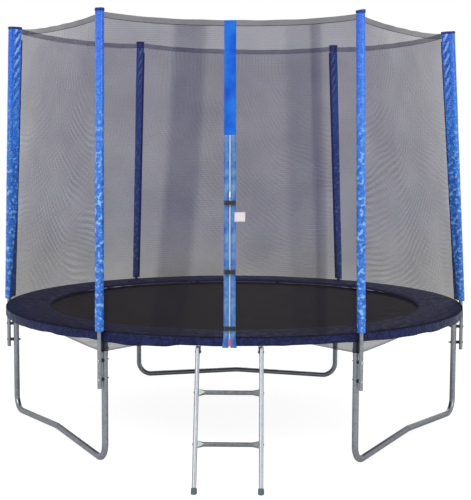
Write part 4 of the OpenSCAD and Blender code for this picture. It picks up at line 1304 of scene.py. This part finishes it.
@dataclass
class SafetyNet:
    """Net panels with their hems, the seams beside the poles and the ties.

    billowed are the heights between which a panel's waves come and go, and taut is the share from
    its edges over which they fade. knot is a tie's knot's depth, width and height, and tail a
    tail's reach sideways, its drop and radius.
    """

    across: int = 72
    up: int = 96
    billow: float = 0.007
    billowed: tuple[float, ...] = (0.80, 1.0, 2.35, 2.52)
    taut: float = 0.12
    door_half: float = 0.0048
    edge_gap: float = 0.0003
    close: float = 0.43
    hem_close: float = 0.32
    hem_ends: tuple[float, float] = (0.0003, 0.9997)
    hem_gap: tuple[float, float] = (0.4965, 0.5035)
    sway: float = 0.0012
    cord_r: float = 0.0011
    knot: tuple[float, float, float] = (0.003, 0.0035, 0.004)
    tail: tuple[float, float, float] = (0.012, 0.02, 0.001)
    seam_w: float = 0.0172
    seam_l: float = 1.742
    seam_lift: float = 0.0019
    seam_wave: float = 0.0006

    def heights(self, i: int, u: Array) -> Array:
        """Heights at each share of panel i, from the lower edge over the rim to the top hem."""
        low, top = PLAN.low_edge(u)[:, None], PLAN.top_edge(i, u)[:, None] + 0.004
        skirt = low + (PLAN.rim_low - low) * np.linspace(0, 1, 6)
        turn = np.broadcast_to(np.linspace(PLAN.rim_low, PLAN.rim, 5)[1:], (len(u), 4))
        body = PLAN.rim + (top - PLAN.rim) * np.linspace(0, 1, self.up)[1:]
        return np.concatenate([skirt, turn, body], 1)

    def cover(self, side: Side, u: Array, z: Array, y: Array) -> Array:
        """Extra cover of a panel: closer towards the door side, and bands with soft edges."""
        t = np.clip((z - PLAN.rim) / (PLAN.net_top - PLAN.rim), 0, 1)
        total = self.close * PLAN.closeness(y)
        for band in BANDS.get(side, ()):
            middle = band.low + (band.top - band.low) * t + band.bow * 4 * t * (1 - t)
            off = np.abs(u - middle) / band.half
            total += band.more * (1 - smooth_step(off, 1 - band.soft, 1 + band.soft))
        return total

    def build(self) -> None:
        """Makes the panels, the hems, the seams and the ties."""
        for side in Side:
            self.panel(side)
        self.hems()
        self.seams()
        self.ties()

    def panel(self, side: Side) -> None:
        """One panel: the plan's surface, bowed by slow waves away from its edges."""
        name, i, u0, u1 = side.value
        width = PLAN.width(i)
        pole, door = self.edge_gap / width, self.door_half / width
        first, last = (u + w * (pole if u in (0.0, 1.0) else door) for u, w in ((u0, 1), (u1, -1)))
        u = np.linspace(first, last, self.across if u1 - u0 == 1.0 else self.across // 2 + 1)
        z, uu = self.heights(i, u), u[:, None]
        flat = PLAN.net_point(i, uu, z, PLAN.net_t / 2)
        low, full, still, high = self.billowed
        inside = np.clip(np.minimum(uu - u0, u1 - uu) / self.taut, 0, 1)
        inside = inside * smooth_step(z, low, full) * (1 - smooth_step(z, still, high))
        broad, fine = flat * [1, 1, 0.45], flat * [1, 1, 0.3]
        relief = 0.7 * crumple(broad, 0.55, 20 + i) + 0.3 * crumple(fine, 0.16, 30 + i)
        pts = PLAN.net_point(i, uu, z, PLAN.net_t / 2 + self.billow * relief * inside)
        build = Builder(name + "_cloth")
        uv = np.stack([(uu - CORNERS[i]) * width + 0 * z, z], -1)
        build.grid(pts, uv, shade=self.cover(side, uu, z, pts[..., 1]))
        piece = build.settle(NET, Body.FRAME, Slot.NET, name)

    def hem(self, build: Builder, i: int, u: Array, z: Array, out: float) -> None:
        """Adds a hem band of panel i between the heights z, whose UV runs along and across it."""
        pts = PLAN.net_point(i, u[:, None], z, out)
        uv = np.stack([u[:, None] * PLAN.width(i) + 0 * z, z - (z[:, :1] + z[:, -1:]) / 2], -1)
        build.grid(pts, uv, shade=self.hem_close * self.close * PLAN.closeness(pts[..., 1]))

    def hems(self) -> None:
        """Doubled band along the upper edge, gently wavy along its top, and a narrow hem along the
        lower.
        """
        first, last = self.hem_ends
        build, u, t = Builder("top_hem_band"), np.linspace(first, last, 81), np.linspace(0, 1, 6)
        for i in range(6):
            sway = self.sway * np.sin(u * 40 + i) * np.sin(np.pi * u)
            z = PLAN.top_edge(i, u)[:, None] + (PLAN.hem_h + sway[:, None]) * t
            self.hem(build, i, u, z, 0.0004)
        piece = build.settle(HEM, Body.FRAME, Slot.HEM, "top_hem", wall=0.0014)
        length = sum(PLAN.width(i) * 0.95 for i in range(6))
        build, down = Builder("low_hem_band"), PLAN.low_hem_h * (1 - np.linspace(0, 1, 4))
        left, right = self.hem_gap
        halves = [np.linspace(first, left, 41), np.linspace(right, last, 41)]
        for i in range(6):
            for part in [u] if i < 5 else halves:
                self.hem(build, i, part, PLAN.low_edge(part)[:, None] - down, 0.0005)
        piece = build.settle(HEM, Body.FRAME, Slot.HEM, "bottom_hem", wall=0.001)

    def seams(self) -> None:
        """Dark seam strips on the net's outer face, on both sides of each sleeve."""
        d = np.linspace(0.0006, 0.0092, 4)
        z = np.linspace(PLAN.rim + 0.012, PLAN.net_top - 0.004, 60)
        for i in range(6):
            build = Builder(f"pole_seams_{i}")
            for panel, far in ((i, False), ((i + 5) % 6, True)):
                u = (d / PLAN.width(panel))[:, None]
                lift = self.seam_lift + self.seam_wave * np.sin(z * 45 + i)
                pts = PLAN.net_point(panel, 1 - u if far else u, z[None], lift[None])
                build.grid(pts, crossed(d - d.mean(), z)[..., ::-1], flip=far)
            piece = build.settle(SEAM, Body.FRAME, Slot.HEM, wall=0.0008)

    def ties(self) -> None:
        """Cord loops that tie the lower hem to the sockets: a ring, a small knot and two tails."""
        build = Builder("net_tie_cords")
        t = np.linspace(0, TURN, 49)
        s = np.linspace(0, 1, 24)[:, None]
        loop = PLAN.socket_r + 0.0015
        for azimuth in PLAN.azimuths:
            out = raised(PLAN.around(azimuth), 0.0)
            side = np.cross(UP, out)
            mid = PLAN.ring_r * out + (PLAN.low_at_pole - 0.006) * UP
            away = circle(t, out, side)
            build.tube(mid + loop * away, away, self.cord_r, 8)
            knot = mid + (loop + 0.0005) * out
            wind, (deep, wide, tall) = s * TURN * 1.5, self.knot
            turn = out * deep * np.sin(wind) + side * wide * np.cos(wind)
            build.tube(knot + turn + UP * tall * (s - 0.5), UP, self.cord_r, 6)
            aside, drop, radius = self.tail
            for way in (-aside, aside):
                build.tube(knot + side * way * s - UP * drop * s**2, out, radius, 6)
        build.settle(CORD, Body.FRAME, Slot.CORD, "net_ties")


# ------------------------------------------------------------------ poles


@dataclass
class PoleSleeve:
    """Foam-filled sleeve of one pole, which the net draws out to an inner edge, with its cap.

    lift_in is how far its lower end rises towards the net, and points how far each cap's corner
    stands up.
    """

    number: int
    back: int = 44
    flank: int = 8
    tip: int = 8
    arc_end: float = 60.0
    up_steps: int = 300
    low_end: float = 0.7835
    lift_in: float = 0.0145
    ripple: float = 0.0012
    cap_low: float = 0.0118
    cap_top: float = 0.0015
    dome: float = 0.004
    cap_out: float = 0.0016
    gathered: float = 0.12
    points: tuple[float, ...] = (0.014, 0.0, 0.0, 0.0, 0.0, 0.004)

    def __post_init__(self) -> None:
        """Sets the axis, and the section's points at reach 0 and how far each moves in with it.

        Section point = fixed + moving (reach - tip radius) inwards. The back is an arc about the
        pole, the tip a small arc, and the flanks run straight between them. free is how loose the
        film is.
        """
        i = self.number
        out = PLAN.around(PLAN.azimuths[i])
        low, high = (raised(out * PLAN.pole_at(i, z), z) for z in (self.low_end, PLAN.top_z(i)))
        self.low, self.length = low, float(np.linalg.norm(high - low))
        self.way = (high - low) / self.length
        axes = np.array([[-1.0, 0.0], [0.0, 1.0]])
        turn, radius = math.radians(self.arc_end), PLAN.skin_r(i)
        if i in PLAN.slim:
            count = 2 * self.flank + self.back + self.tip
            a = turn + np.arange(count) * TURN / count
            self.fixed = radius * circle(a, *axes)[::-1]
            self.moving = np.zeros(count)
            self.free = 0.5 * np.clip(np.cos(a), 0, 1)[::-1]
            return
        back = radius * circle(np.linspace(turn, TURN - turn, self.back), *axes)
        tip = PLAN.fin_r * circle(np.linspace(-turn, turn, self.tip), *axes)
        w = np.linspace(0, 1, self.flank + 2)[1:-1, None]
        flanks = [p * (1 - w) + q * w for p, q in ((back[-1], tip[0]), (tip[-1], back[0]))]
        none, full, w = np.zeros(self.back), np.ones(self.tip), w[:, 0]
        bulge = np.sin(np.pi * w)
        self.fixed = np.concatenate([back, flanks[0], tip, flanks[1]])[::-1]
        self.moving = np.concatenate([none, w, full, 1 - w])[::-1]
        self.free = np.concatenate([none, bulge, 0 * full, bulge])[::-1]

    def section(self, s: Array, swell: Array | float) -> tuple[Array, Array]:
        """Section of the sleeve at distances s along the axis.

        Args:
            s: Distances from the lower end.
            swell: How far each point lies outside the plain section.

        Returns:
            Points (outwards, sideways), around x steps x 2, and the girth up to each of them.
        """
        reach = PLAN.reach(self.number, self.low_end + s * self.way[2]) - PLAN.fin_r
        inwards = self.moving[:, None, None] * reach[None, :, None]
        plain = self.fixed[:, None] + inwards * np.array([-1.0, 0.0])
        step = np.roll(plain, -1, 0) - np.roll(plain, 1, 0)
        normal = np.stack([-step[..., 1], step[..., 0]], -1)
        normal /= np.linalg.norm(normal, axis=-1, keepdims=True)
        normal *= np.sign((normal[0, 0] * plain[0, 0]).sum())
        swell = np.broadcast_to(swell, plain.shape[:2])
        gap = np.linalg.norm(np.roll(plain, -1, 0) - plain, axis=-1).mean(1)
        return plain + normal * swell[..., None], np.concatenate([[0.0], np.cumsum(gap)])

    def skin(
        self, build: Builder, s: Array, points: Array, girth: Array,
        rise: Array | float = 0.0, free: Array | float = 0.0,
    ) -> Array:
        """Adds a skin round the axis.

        Args:
            build: Mesh that takes it.
            s: Distances along the axis, one for each column.
            points: Section points, around x steps x 2.
            girth: Girth up to each point, one more than the points around.
            rise: Extra distance along the axis, around x steps.
            free: How loose the film is at each point, which sets where high up the material paints
                highlight streaks on painted shade.

        Returns:
            Numbers of the vertices.
        """
        out = raised(PLAN.around(PLAN.azimuths[self.number]), 0.0)
        n = out - self.way * (out @ self.way)
        n /= np.linalg.norm(n)
        run = (np.broadcast_to(s, points.shape[:2]) + rise)[..., None]
        pts = self.low + run * self.way + points[..., :1] * n
        pts = pts + points[..., 1:] * np.cross(self.way, n)
        # As the shade number, this places painted highlight streaks and painted shade on the loose
        # flanks.
        drawn = 0.95 * free * smooth_step(s / self.length, 0.55, 0.95)[None]
        return build.grid(pts, crossed(girth, s), 1, shade=drawn)

    def folds(self, s: Array) -> Array:
        """Depth of the creases round and along the sleeve.

        Short creases lie all over it. On the flanks, which hang free between foam and net, slanted
        waves run up and inwards, and grow towards the top, where the net pulls more.
        """
        i = self.number
        where, _ = self.section(s, 0.0)
        spots = raised(where, s[None] * 0.6)
        short = crumple(spots, 0.045, 50 + i, 0.75) * 0.5 + crumple(spots, 0.02, 60 + i, 0.85) * 0.5
        broad = crumple(spots * [1, 1, 0.5], 0.14, 70 + i)
        share = (s / s[-1])[None]
        pull, calm = smooth_step(share, 0.1, 1.0), 1 - 0.8 * smooth_step(share, 0.4, 0.8)
        slant = TURN * (s[None] - where[..., 0] * 1.1 + 0.01 * broad)
        waves = np.sin(slant / 0.047 + i) * 0.6 + np.sin(slant / 0.029 + 2 * i) * 0.4
        depth = (-0.0009 + 0.0012 * short * calm + 0.0005 * broad) * (1 - self.moving[:, None] ** 2)
        depth = depth + self.free[:, None] * (0.0004 + 0.0016 * pull) * waves
        return np.clip(depth, -0.0036, 0.0012)

    def build(self, node: str) -> None:
        """Makes the sleeve and its cap.

        Its lower end hangs a little under the foam at the back and rises towards the net.

        Args:
            node: CAD node of the sleeve.
        """
        s = np.linspace(0.0, self.length - 0.002, self.up_steps)
        swell = self.folds(s) - 0.0012 * np.exp(-(((s - 0.012) / 0.004) ** 2))[None]
        points, girth = self.section(s, swell)
        inwards = np.clip(-points[:, :1, 0], 0, 1)
        ripple = self.ripple * np.sin(np.arange(len(points)) * 0.4)[:, None]
        lift = self.lift_in * smooth_step(inwards, 0.0, 0.034) + ripple
        rise = lift * (1 - smooth_step(s, 0.0, 0.06))[None]
        turned = points[:, :1] * 0.86
        along = np.concatenate([[0.0035, 0.0005], s + 0.001, [self.length]])
        points = np.concatenate([turned * 0.6, turned, points, points[:, -1:] * 0.5], 1)
        rise = np.concatenate([rise[:, :1], rise[:, :1], rise, 0 * rise[:, :1]], 1)
        body = Builder(f"sleeve_{self.number}")
        body.ends(self.skin(body, along, points, girth, rise, self.free[:, None]))
        body.settle(SLEEVE_BLUE, Body.FRAME, Slot.SLEEVE, node, sharp=80.0)
        self.cap()

    def cap(self) -> None:
        """The cap: a snug band that gathers over the top into a low dome, raised at one corner."""
        i, t = self.number, np.linspace(0, math.pi / 2, 8)[1:]
        turned, band = [-0.010, -self.cap_low], np.linspace(-self.cap_low, self.cap_top, 7)[1:]
        s = self.length + np.concatenate([turned, band, self.cap_top + self.dome * np.sin(t)])
        swell = np.concatenate([[0.0003, 0.0009], np.full(13, self.cap_out)])
        size = np.concatenate([np.ones(8), self.gathered + (1 - self.gathered) * np.cos(t)])
        size = size[None, :, None]
        points, girth = self.section(np.full(len(s), self.length), swell[None])
        middle, number = points.mean(0, keepdims=True), np.arange(len(points))
        pleats = 1 + 0.02 * np.sin(number * 0.9 + i)[:, None, None] * (1 - size)
        points = middle + (points - middle) * size * pleats
        corner = np.clip(0.5 + 0.5 * points[..., 1] / PLAN.skin_r(i), 0, 1) ** 2
        sag = 0.0008 * np.sin(number * 0.55 + 2 * i)[:, None]
        rise = sag + self.points[i] * np.linspace(0, 1, len(s)) * corner
        build = Builder(f"pole_cap_{i}")
        build.ends(self.skin(build, s, points, girth, rise, self.free[:, None]))
        build.settle(CAP_NAVY, Body.FRAME, Slot.CAP, "pole_caps", sharp=70.0)


@dataclass
class Poles:
    """The six sleeves and the foam inside them."""

    nodes: tuple[str, ...] = (
        "sleeve_near_right", "sleeve_right", "sleeve_rear_right",
        "sleeve_rear_left", "sleeve_left", "sleeve_near_left",
    )
    bore: float = 0.0130
    skin_gap: float = 0.0028

    def build(self) -> None:
        """Makes the sleeves, their caps and the foam."""
        foam = Builder("pole_foam")
        t = np.linspace(0, TURN, 37)
        round_about = circle(t[:-1, None], *np.eye(2))
        for i, node in enumerate(self.nodes):
            sleeve = PoleSleeve(i)
            sleeve.build(node)
            rim, bore = PLAN.skin_r(i) - self.skin_gap, self.bore
            low = np.array([0.02, 0.0, 0.0, 0.006, 0.02]) + PLAN.sleeve_low - sleeve.low_end
            top = sleeve.length - np.array([0.03, 0.003, 0.002, 0.02])
            for s, radii in (
                (low, [bore, bore + 0.0002, rim - 0.001, rim, rim]),
                (top, [rim, rim, bore + 0.0002, bore]),
            ):
                sleeve.skin(foam, s, round_about * np.array(radii)[:, None], t * rim)
        foam.settle(POLE_FOAM, Body.FRAME, Slot.FOAM, "pole_foams")


# ------------------------------------------------------------------ door


@dataclass
class Door:
    """Zipped door: tapes, zip, end tack and tag.

    low, up and side are a point of the zip's line on the net, its direction and that across it.
    tooth is a tooth's offset, half width, half height, and its back's and front's lift.
    """

    low: tuple[float, float, float] = (0.0, -1.526875, 0.790)
    up: tuple[float, float, float] = (-0.00410767, 0.12391376, 0.99228449)
    side: tuple[float, float, float] = (0.99999143, 0.0, 0.00413957)
    zip_half: float = 0.0045
    tape_out: float = 0.0335
    tape_lift: float = 0.00175
    lift: float = 0.0008
    front: float = 1.5361
    zip_top: float = 1.905
    zip_low: float = 0.735
    tack_half: float = 0.0085
    tack_z: tuple[float, float] = (0.731, 0.771)
    tape_low: float = 0.722
    bend_low: float = 0.786
    bend_high: float = 0.806
    fine_below: float = 0.83
    flared: float = 0.07
    flare: float = 0.007
    pitch: float = 0.003
    tooth: tuple[float, ...] = (0.0013, 0.0029, 0.0009, 0.0008, 0.0024)
    tag: tuple[float, ...] = (0.0265, 0.0865, 1.421, 1.475)

    def spot(self, x: Array, z: Array, lift: Array | float) -> Array:
        """Points on the door: x across, height z and lift off the net.

        Args:
            x: Distances from the zip's middle.
            z: Heights.
            lift: Distances outwards from the net's outer face.

        Returns:
            low + up (z - low z) / up z + side x + outwards lift. Below the rim the line swings out
            smoothly to the skirt's front.
        """
        low, up, side = np.array(self.low), np.array(self.up), np.array(self.side)
        x, z, lift = (v[..., None] for v in np.broadcast_arrays(x, z, lift))
        on = low + (z - low[2]) / up[2] * up + x * side - lift * np.cross(up, side)
        hang = np.concatenate([x, -self.front - lift + self.lift, z], -1)
        w = smooth_step(z, self.bend_low, self.bend_high)
        return on * w + hang * (1 - w)

    def heights(self, z0: float, z1: float, steps: int) -> Array:
        """Heights from z0 to z1, close together near the rim's bend."""
        fine = np.linspace(z0, self.fine_below, 30)
        return np.concatenate([fine, np.linspace(self.fine_below, z1, steps)[1:]])

    def band(
        self, name: str, x0: float, x1: float, z: Array, finish: Finish, node: str,
        flare: float = 0.0,
    ) -> None:
        """Makes a flat tape on the door.

        Its middle lies half its thickness off the net, and waves of half a millimetre run along it.

        Args:
            name: Name of the piece.
            x0: Left edge.
            x1: Right edge.
            z: Heights.
            finish: Its finish.
            node: CAD node that it replaces.
            flare: How far its outer edge swings out at the lower end.
        """
        x = np.linspace(x0, x1, 9)
        low, xx = 1 - smooth_step(z, z[0], z[0] + self.flared), x[:, None]
        spread = flare * low * (xx - x0 if flare > 0 else x1 - xx) / (x1 - x0)
        wave = 0.00035 * np.sin(z * 60 + xx * 90) + 0.0003 * np.sin(z * 23)
        build = Builder(name)
        uv = crossed(x - (x0 + x1) / 2, z)[..., ::-1]
        build.grid(self.spot(xx + spread, z, self.tape_lift + wave), uv)
        piece = build.settle(finish, Body.FRAME, Slot.TAPE, node, wall=0.0011)

    def build(self) -> None:
        """Makes the tapes, the zip, the tack and the tag, and dresses the CAD's fittings."""
        top = float(PLAN.top_edge(5, np.array([0.5]))[0]) + PLAN.hem_h - 0.001
        out, gap = self.tape_out, self.zip_half + 0.0003
        high = np.linspace(self.zip_top + 0.0005, top, 120)
        z = self.heights(self.tape_low, self.zip_top, 200)
        self.band("door_tape_upper", -out, out, high, TAPE_BRIGHT, "door_tape_top")
        wide = self.flare
        self.band("door_tape_on_left", -out, -gap, z, TAPE_DULL, "door_tape_left", -wide)
        self.band("door_tape_on_right", gap, out, z, TAPE_DULL, "door_tape_right", wide)
        self.teeth()
        self.strip()
        self.tack()
        self.make_tag()
        dress(ZINC, "zip_slider")
        dress(PULL_PLASTIC, "zip_pull")
        plugs = ("buckle_plug_low", "buckle_plug_middle", "buckle_plug_top")
        dress(BLACK_PLASTIC, "buckle_sockets", *plugs)

    def teeth(self) -> None:
        """The zip's teeth in two staggered rows, each a small block narrower at its front."""
        z = np.arange(self.zip_low + 0.002, self.zip_top - 0.004, self.pitch)
        block = np.array([[-1, -1], [1, -1], [1, 1], [-1, 1]])
        sides = [[3, 2, 1, 0], [4, 5, 6, 7], [0, 1, 5, 4], [1, 2, 6, 5], [2, 3, 7, 6], [3, 0, 4, 7]]
        build = Builder("zip_chain")
        aside, half, tall, low, high = self.tooth
        for shift, x in ((0.0, -aside), (self.pitch / 2, aside)):
            xs, up = x + block[:, :1] * half, block[:, 1:]
            near = self.spot(xs, z + shift + up * tall, low)
            far = self.spot(xs * 0.96, z + shift + up * (tall - 0.0003), high)
            corners = np.concatenate([near, far]).transpose(1, 0, 2)
            ids = build.count + np.arange(len(z))[:, None, None] * 8 + np.array(sides)
            build.points.append(corners.reshape(-1, 3))
            build.faces.extend(ids.reshape(-1, 4).tolist())
            build.corner_uv.append(np.zeros((ids.size, 2)))
            build.shade.append(np.zeros(len(z) * 8))
            build.count += len(z) * 8
        build.settle(ZIP_PLASTIC, Body.FRAME, Slot.ZIP, "zip_teeth", sharp=40.0)

    def strip(self) -> None:
        """Pale cloth strip that the teeth are set in."""
        x = np.linspace(-self.zip_half, self.zip_half, 4)
        z = self.heights(self.zip_low, self.zip_top, 150)
        build = Builder("zip_tape")
        build.grid(self.spot(x[:, None], z, 0.0007), crossed(x, z)[..., ::-1])
        piece = build.settle(ZIP_CLOTH, Body.FRAME, Slot.ZIP, "zip_teeth", wall=0.0006)

    def tack(self) -> None:
        """Stitched cloth tack over the zip's lower end, bulged a little over the teeth."""
        x = np.linspace(-self.tack_half, self.tack_half, 9)
        z = np.linspace(*self.tack_z, 13)
        bulge = 0.0009 * np.cos(x / x[-1] * math.pi / 2)[:, None]
        lift = 0.0031 + bulge + 0.0002 * np.sin(z * 700)
        build = Builder("zip_end_tack")
        build.grid(self.spot(x[:, None], z, lift), crossed(x, z))
        piece = build.settle(END_TACK, Body.FRAME, Slot.TAPE, wall=0.0006)

    def make_tag(self) -> None:
        """Blank satin tag, sewn under the right tape, with its free edge a little off the net."""
        x, z = np.linspace(*self.tag[:2], 13), np.linspace(*self.tag[2:], 12)
        free = ((x - x[0]) / (x[-1] - x[0]))[:, None]
        lift = 0.0029 + 0.0016 * free**2 * (1 + 0.5 * np.sin(z * 60))
        build = Builder("door_tag_cloth")
        build.grid(self.spot(x[:, None], z, lift), crossed(x - x.mean(), z - z.mean()))
        piece = build.settle(TAG_CLOTH, Body.FRAME, Slot.TAG, "door_tag", wall=0.0005)


# ------------------------------------------------------------------ frame and ladder


@dataclass
class Metalwork:
    """Frame, legs, poles and ladder, which stay as in the CAD apart from the ladder's feet."""

    foot: tuple[float, float, float] = (0.179, -1.91286, 0.0)
    lean: float = math.radians(30.0)
    foot_r: float = 0.0165
    foot_h: float = 0.0262

    def dress_frame(self) -> None:
        """Puts the metal and plastic finishes on the frame."""
        legs = ("leg_base_right", "leg_base_rear", "leg_base_left", "leg_uprights")
        dress(GALVANISED, "frame_rails", "t_sockets", *legs, "poles_lower", "poles_upper")
        dress(ZINC, "socket_screws", "pole_bolts", "v_rings")
        dress(DARK_STEEL, "pole_nuts")
        dress(BLACK_PLASTIC, "spacers")

    def dress_ladder(self) -> None:
        """Puts the metal and paint finishes on the ladder and makes its feet."""
        dress(LADDER_STEEL, "ladder_rail_left", "ladder_rail_right")
        dress(RUNG_STEEL, "ladder_rung_low", "ladder_rung_top")
        dress(BLACK_PAINT, "ladder_hooks")
        dress(ZINC, "ladder_bolts")
        self.feet()

    def feet(self) -> None:
        """Rubber cups on the rails' ends.

        Rings lie about each rail's axis. The lowest is level with the ground and the upper ones
        stand square to the rail: height = z - (1 - square) r sin t sin(lean). The lip is rolled.
        """
        t = np.arange(33) * TURN / 32
        r = self.foot_r * np.array([0.88, 1.0, 1.0, 1.0, 0.96, 0.79])
        z = self.foot_h * np.array([0.0, 0.06, 0.4, 0.92, 1.0, 1.0])
        square = np.array([0.0, 0.0, 0.5, 1.0, 1.0, 1.0])
        sine, cosine = math.sin(self.lean), math.cos(self.lean)
        way, across = np.array([0.0, sine, cosine]), np.array([0.0, cosine, -sine])
        level = r * np.sin(t[:-1, None]) * sine * (1 - square)
        run = ((z + level) / cosine)[..., None] * way
        ring = r[:, None] * circle(t[:-1, None], np.array([1.0, 0.0, 0.0]), across)
        build = Builder("ladder_foot_cups")
        for side in (-1, 1):
            pts = np.array(self.foot) * [side, 1, 1] + run + ring
            build.ends(build.grid(pts, crossed(t * self.foot_r, z), 1, True))
        build.settle(RUBBER, Body.LADDER, Slot.RUBBER, "ladder_feet", sharp=50.0)


def main() -> None:
    """Builds the studio and the sub-assemblies in order."""
    logging.basicConfig(level=logging.INFO, format="%(message)s")
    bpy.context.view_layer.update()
    Studio().build()
    metalwork = Metalwork()
    metalwork.dress_frame()
    Springs().build()
    Mat().build()
    SpringPad().build()
    Poles().build()
    SafetyNet().build()
    Door().build()
    metalwork.dress_ladder()
    bpy.context.view_layer.update()


if __name__ == "__main__":
    main()
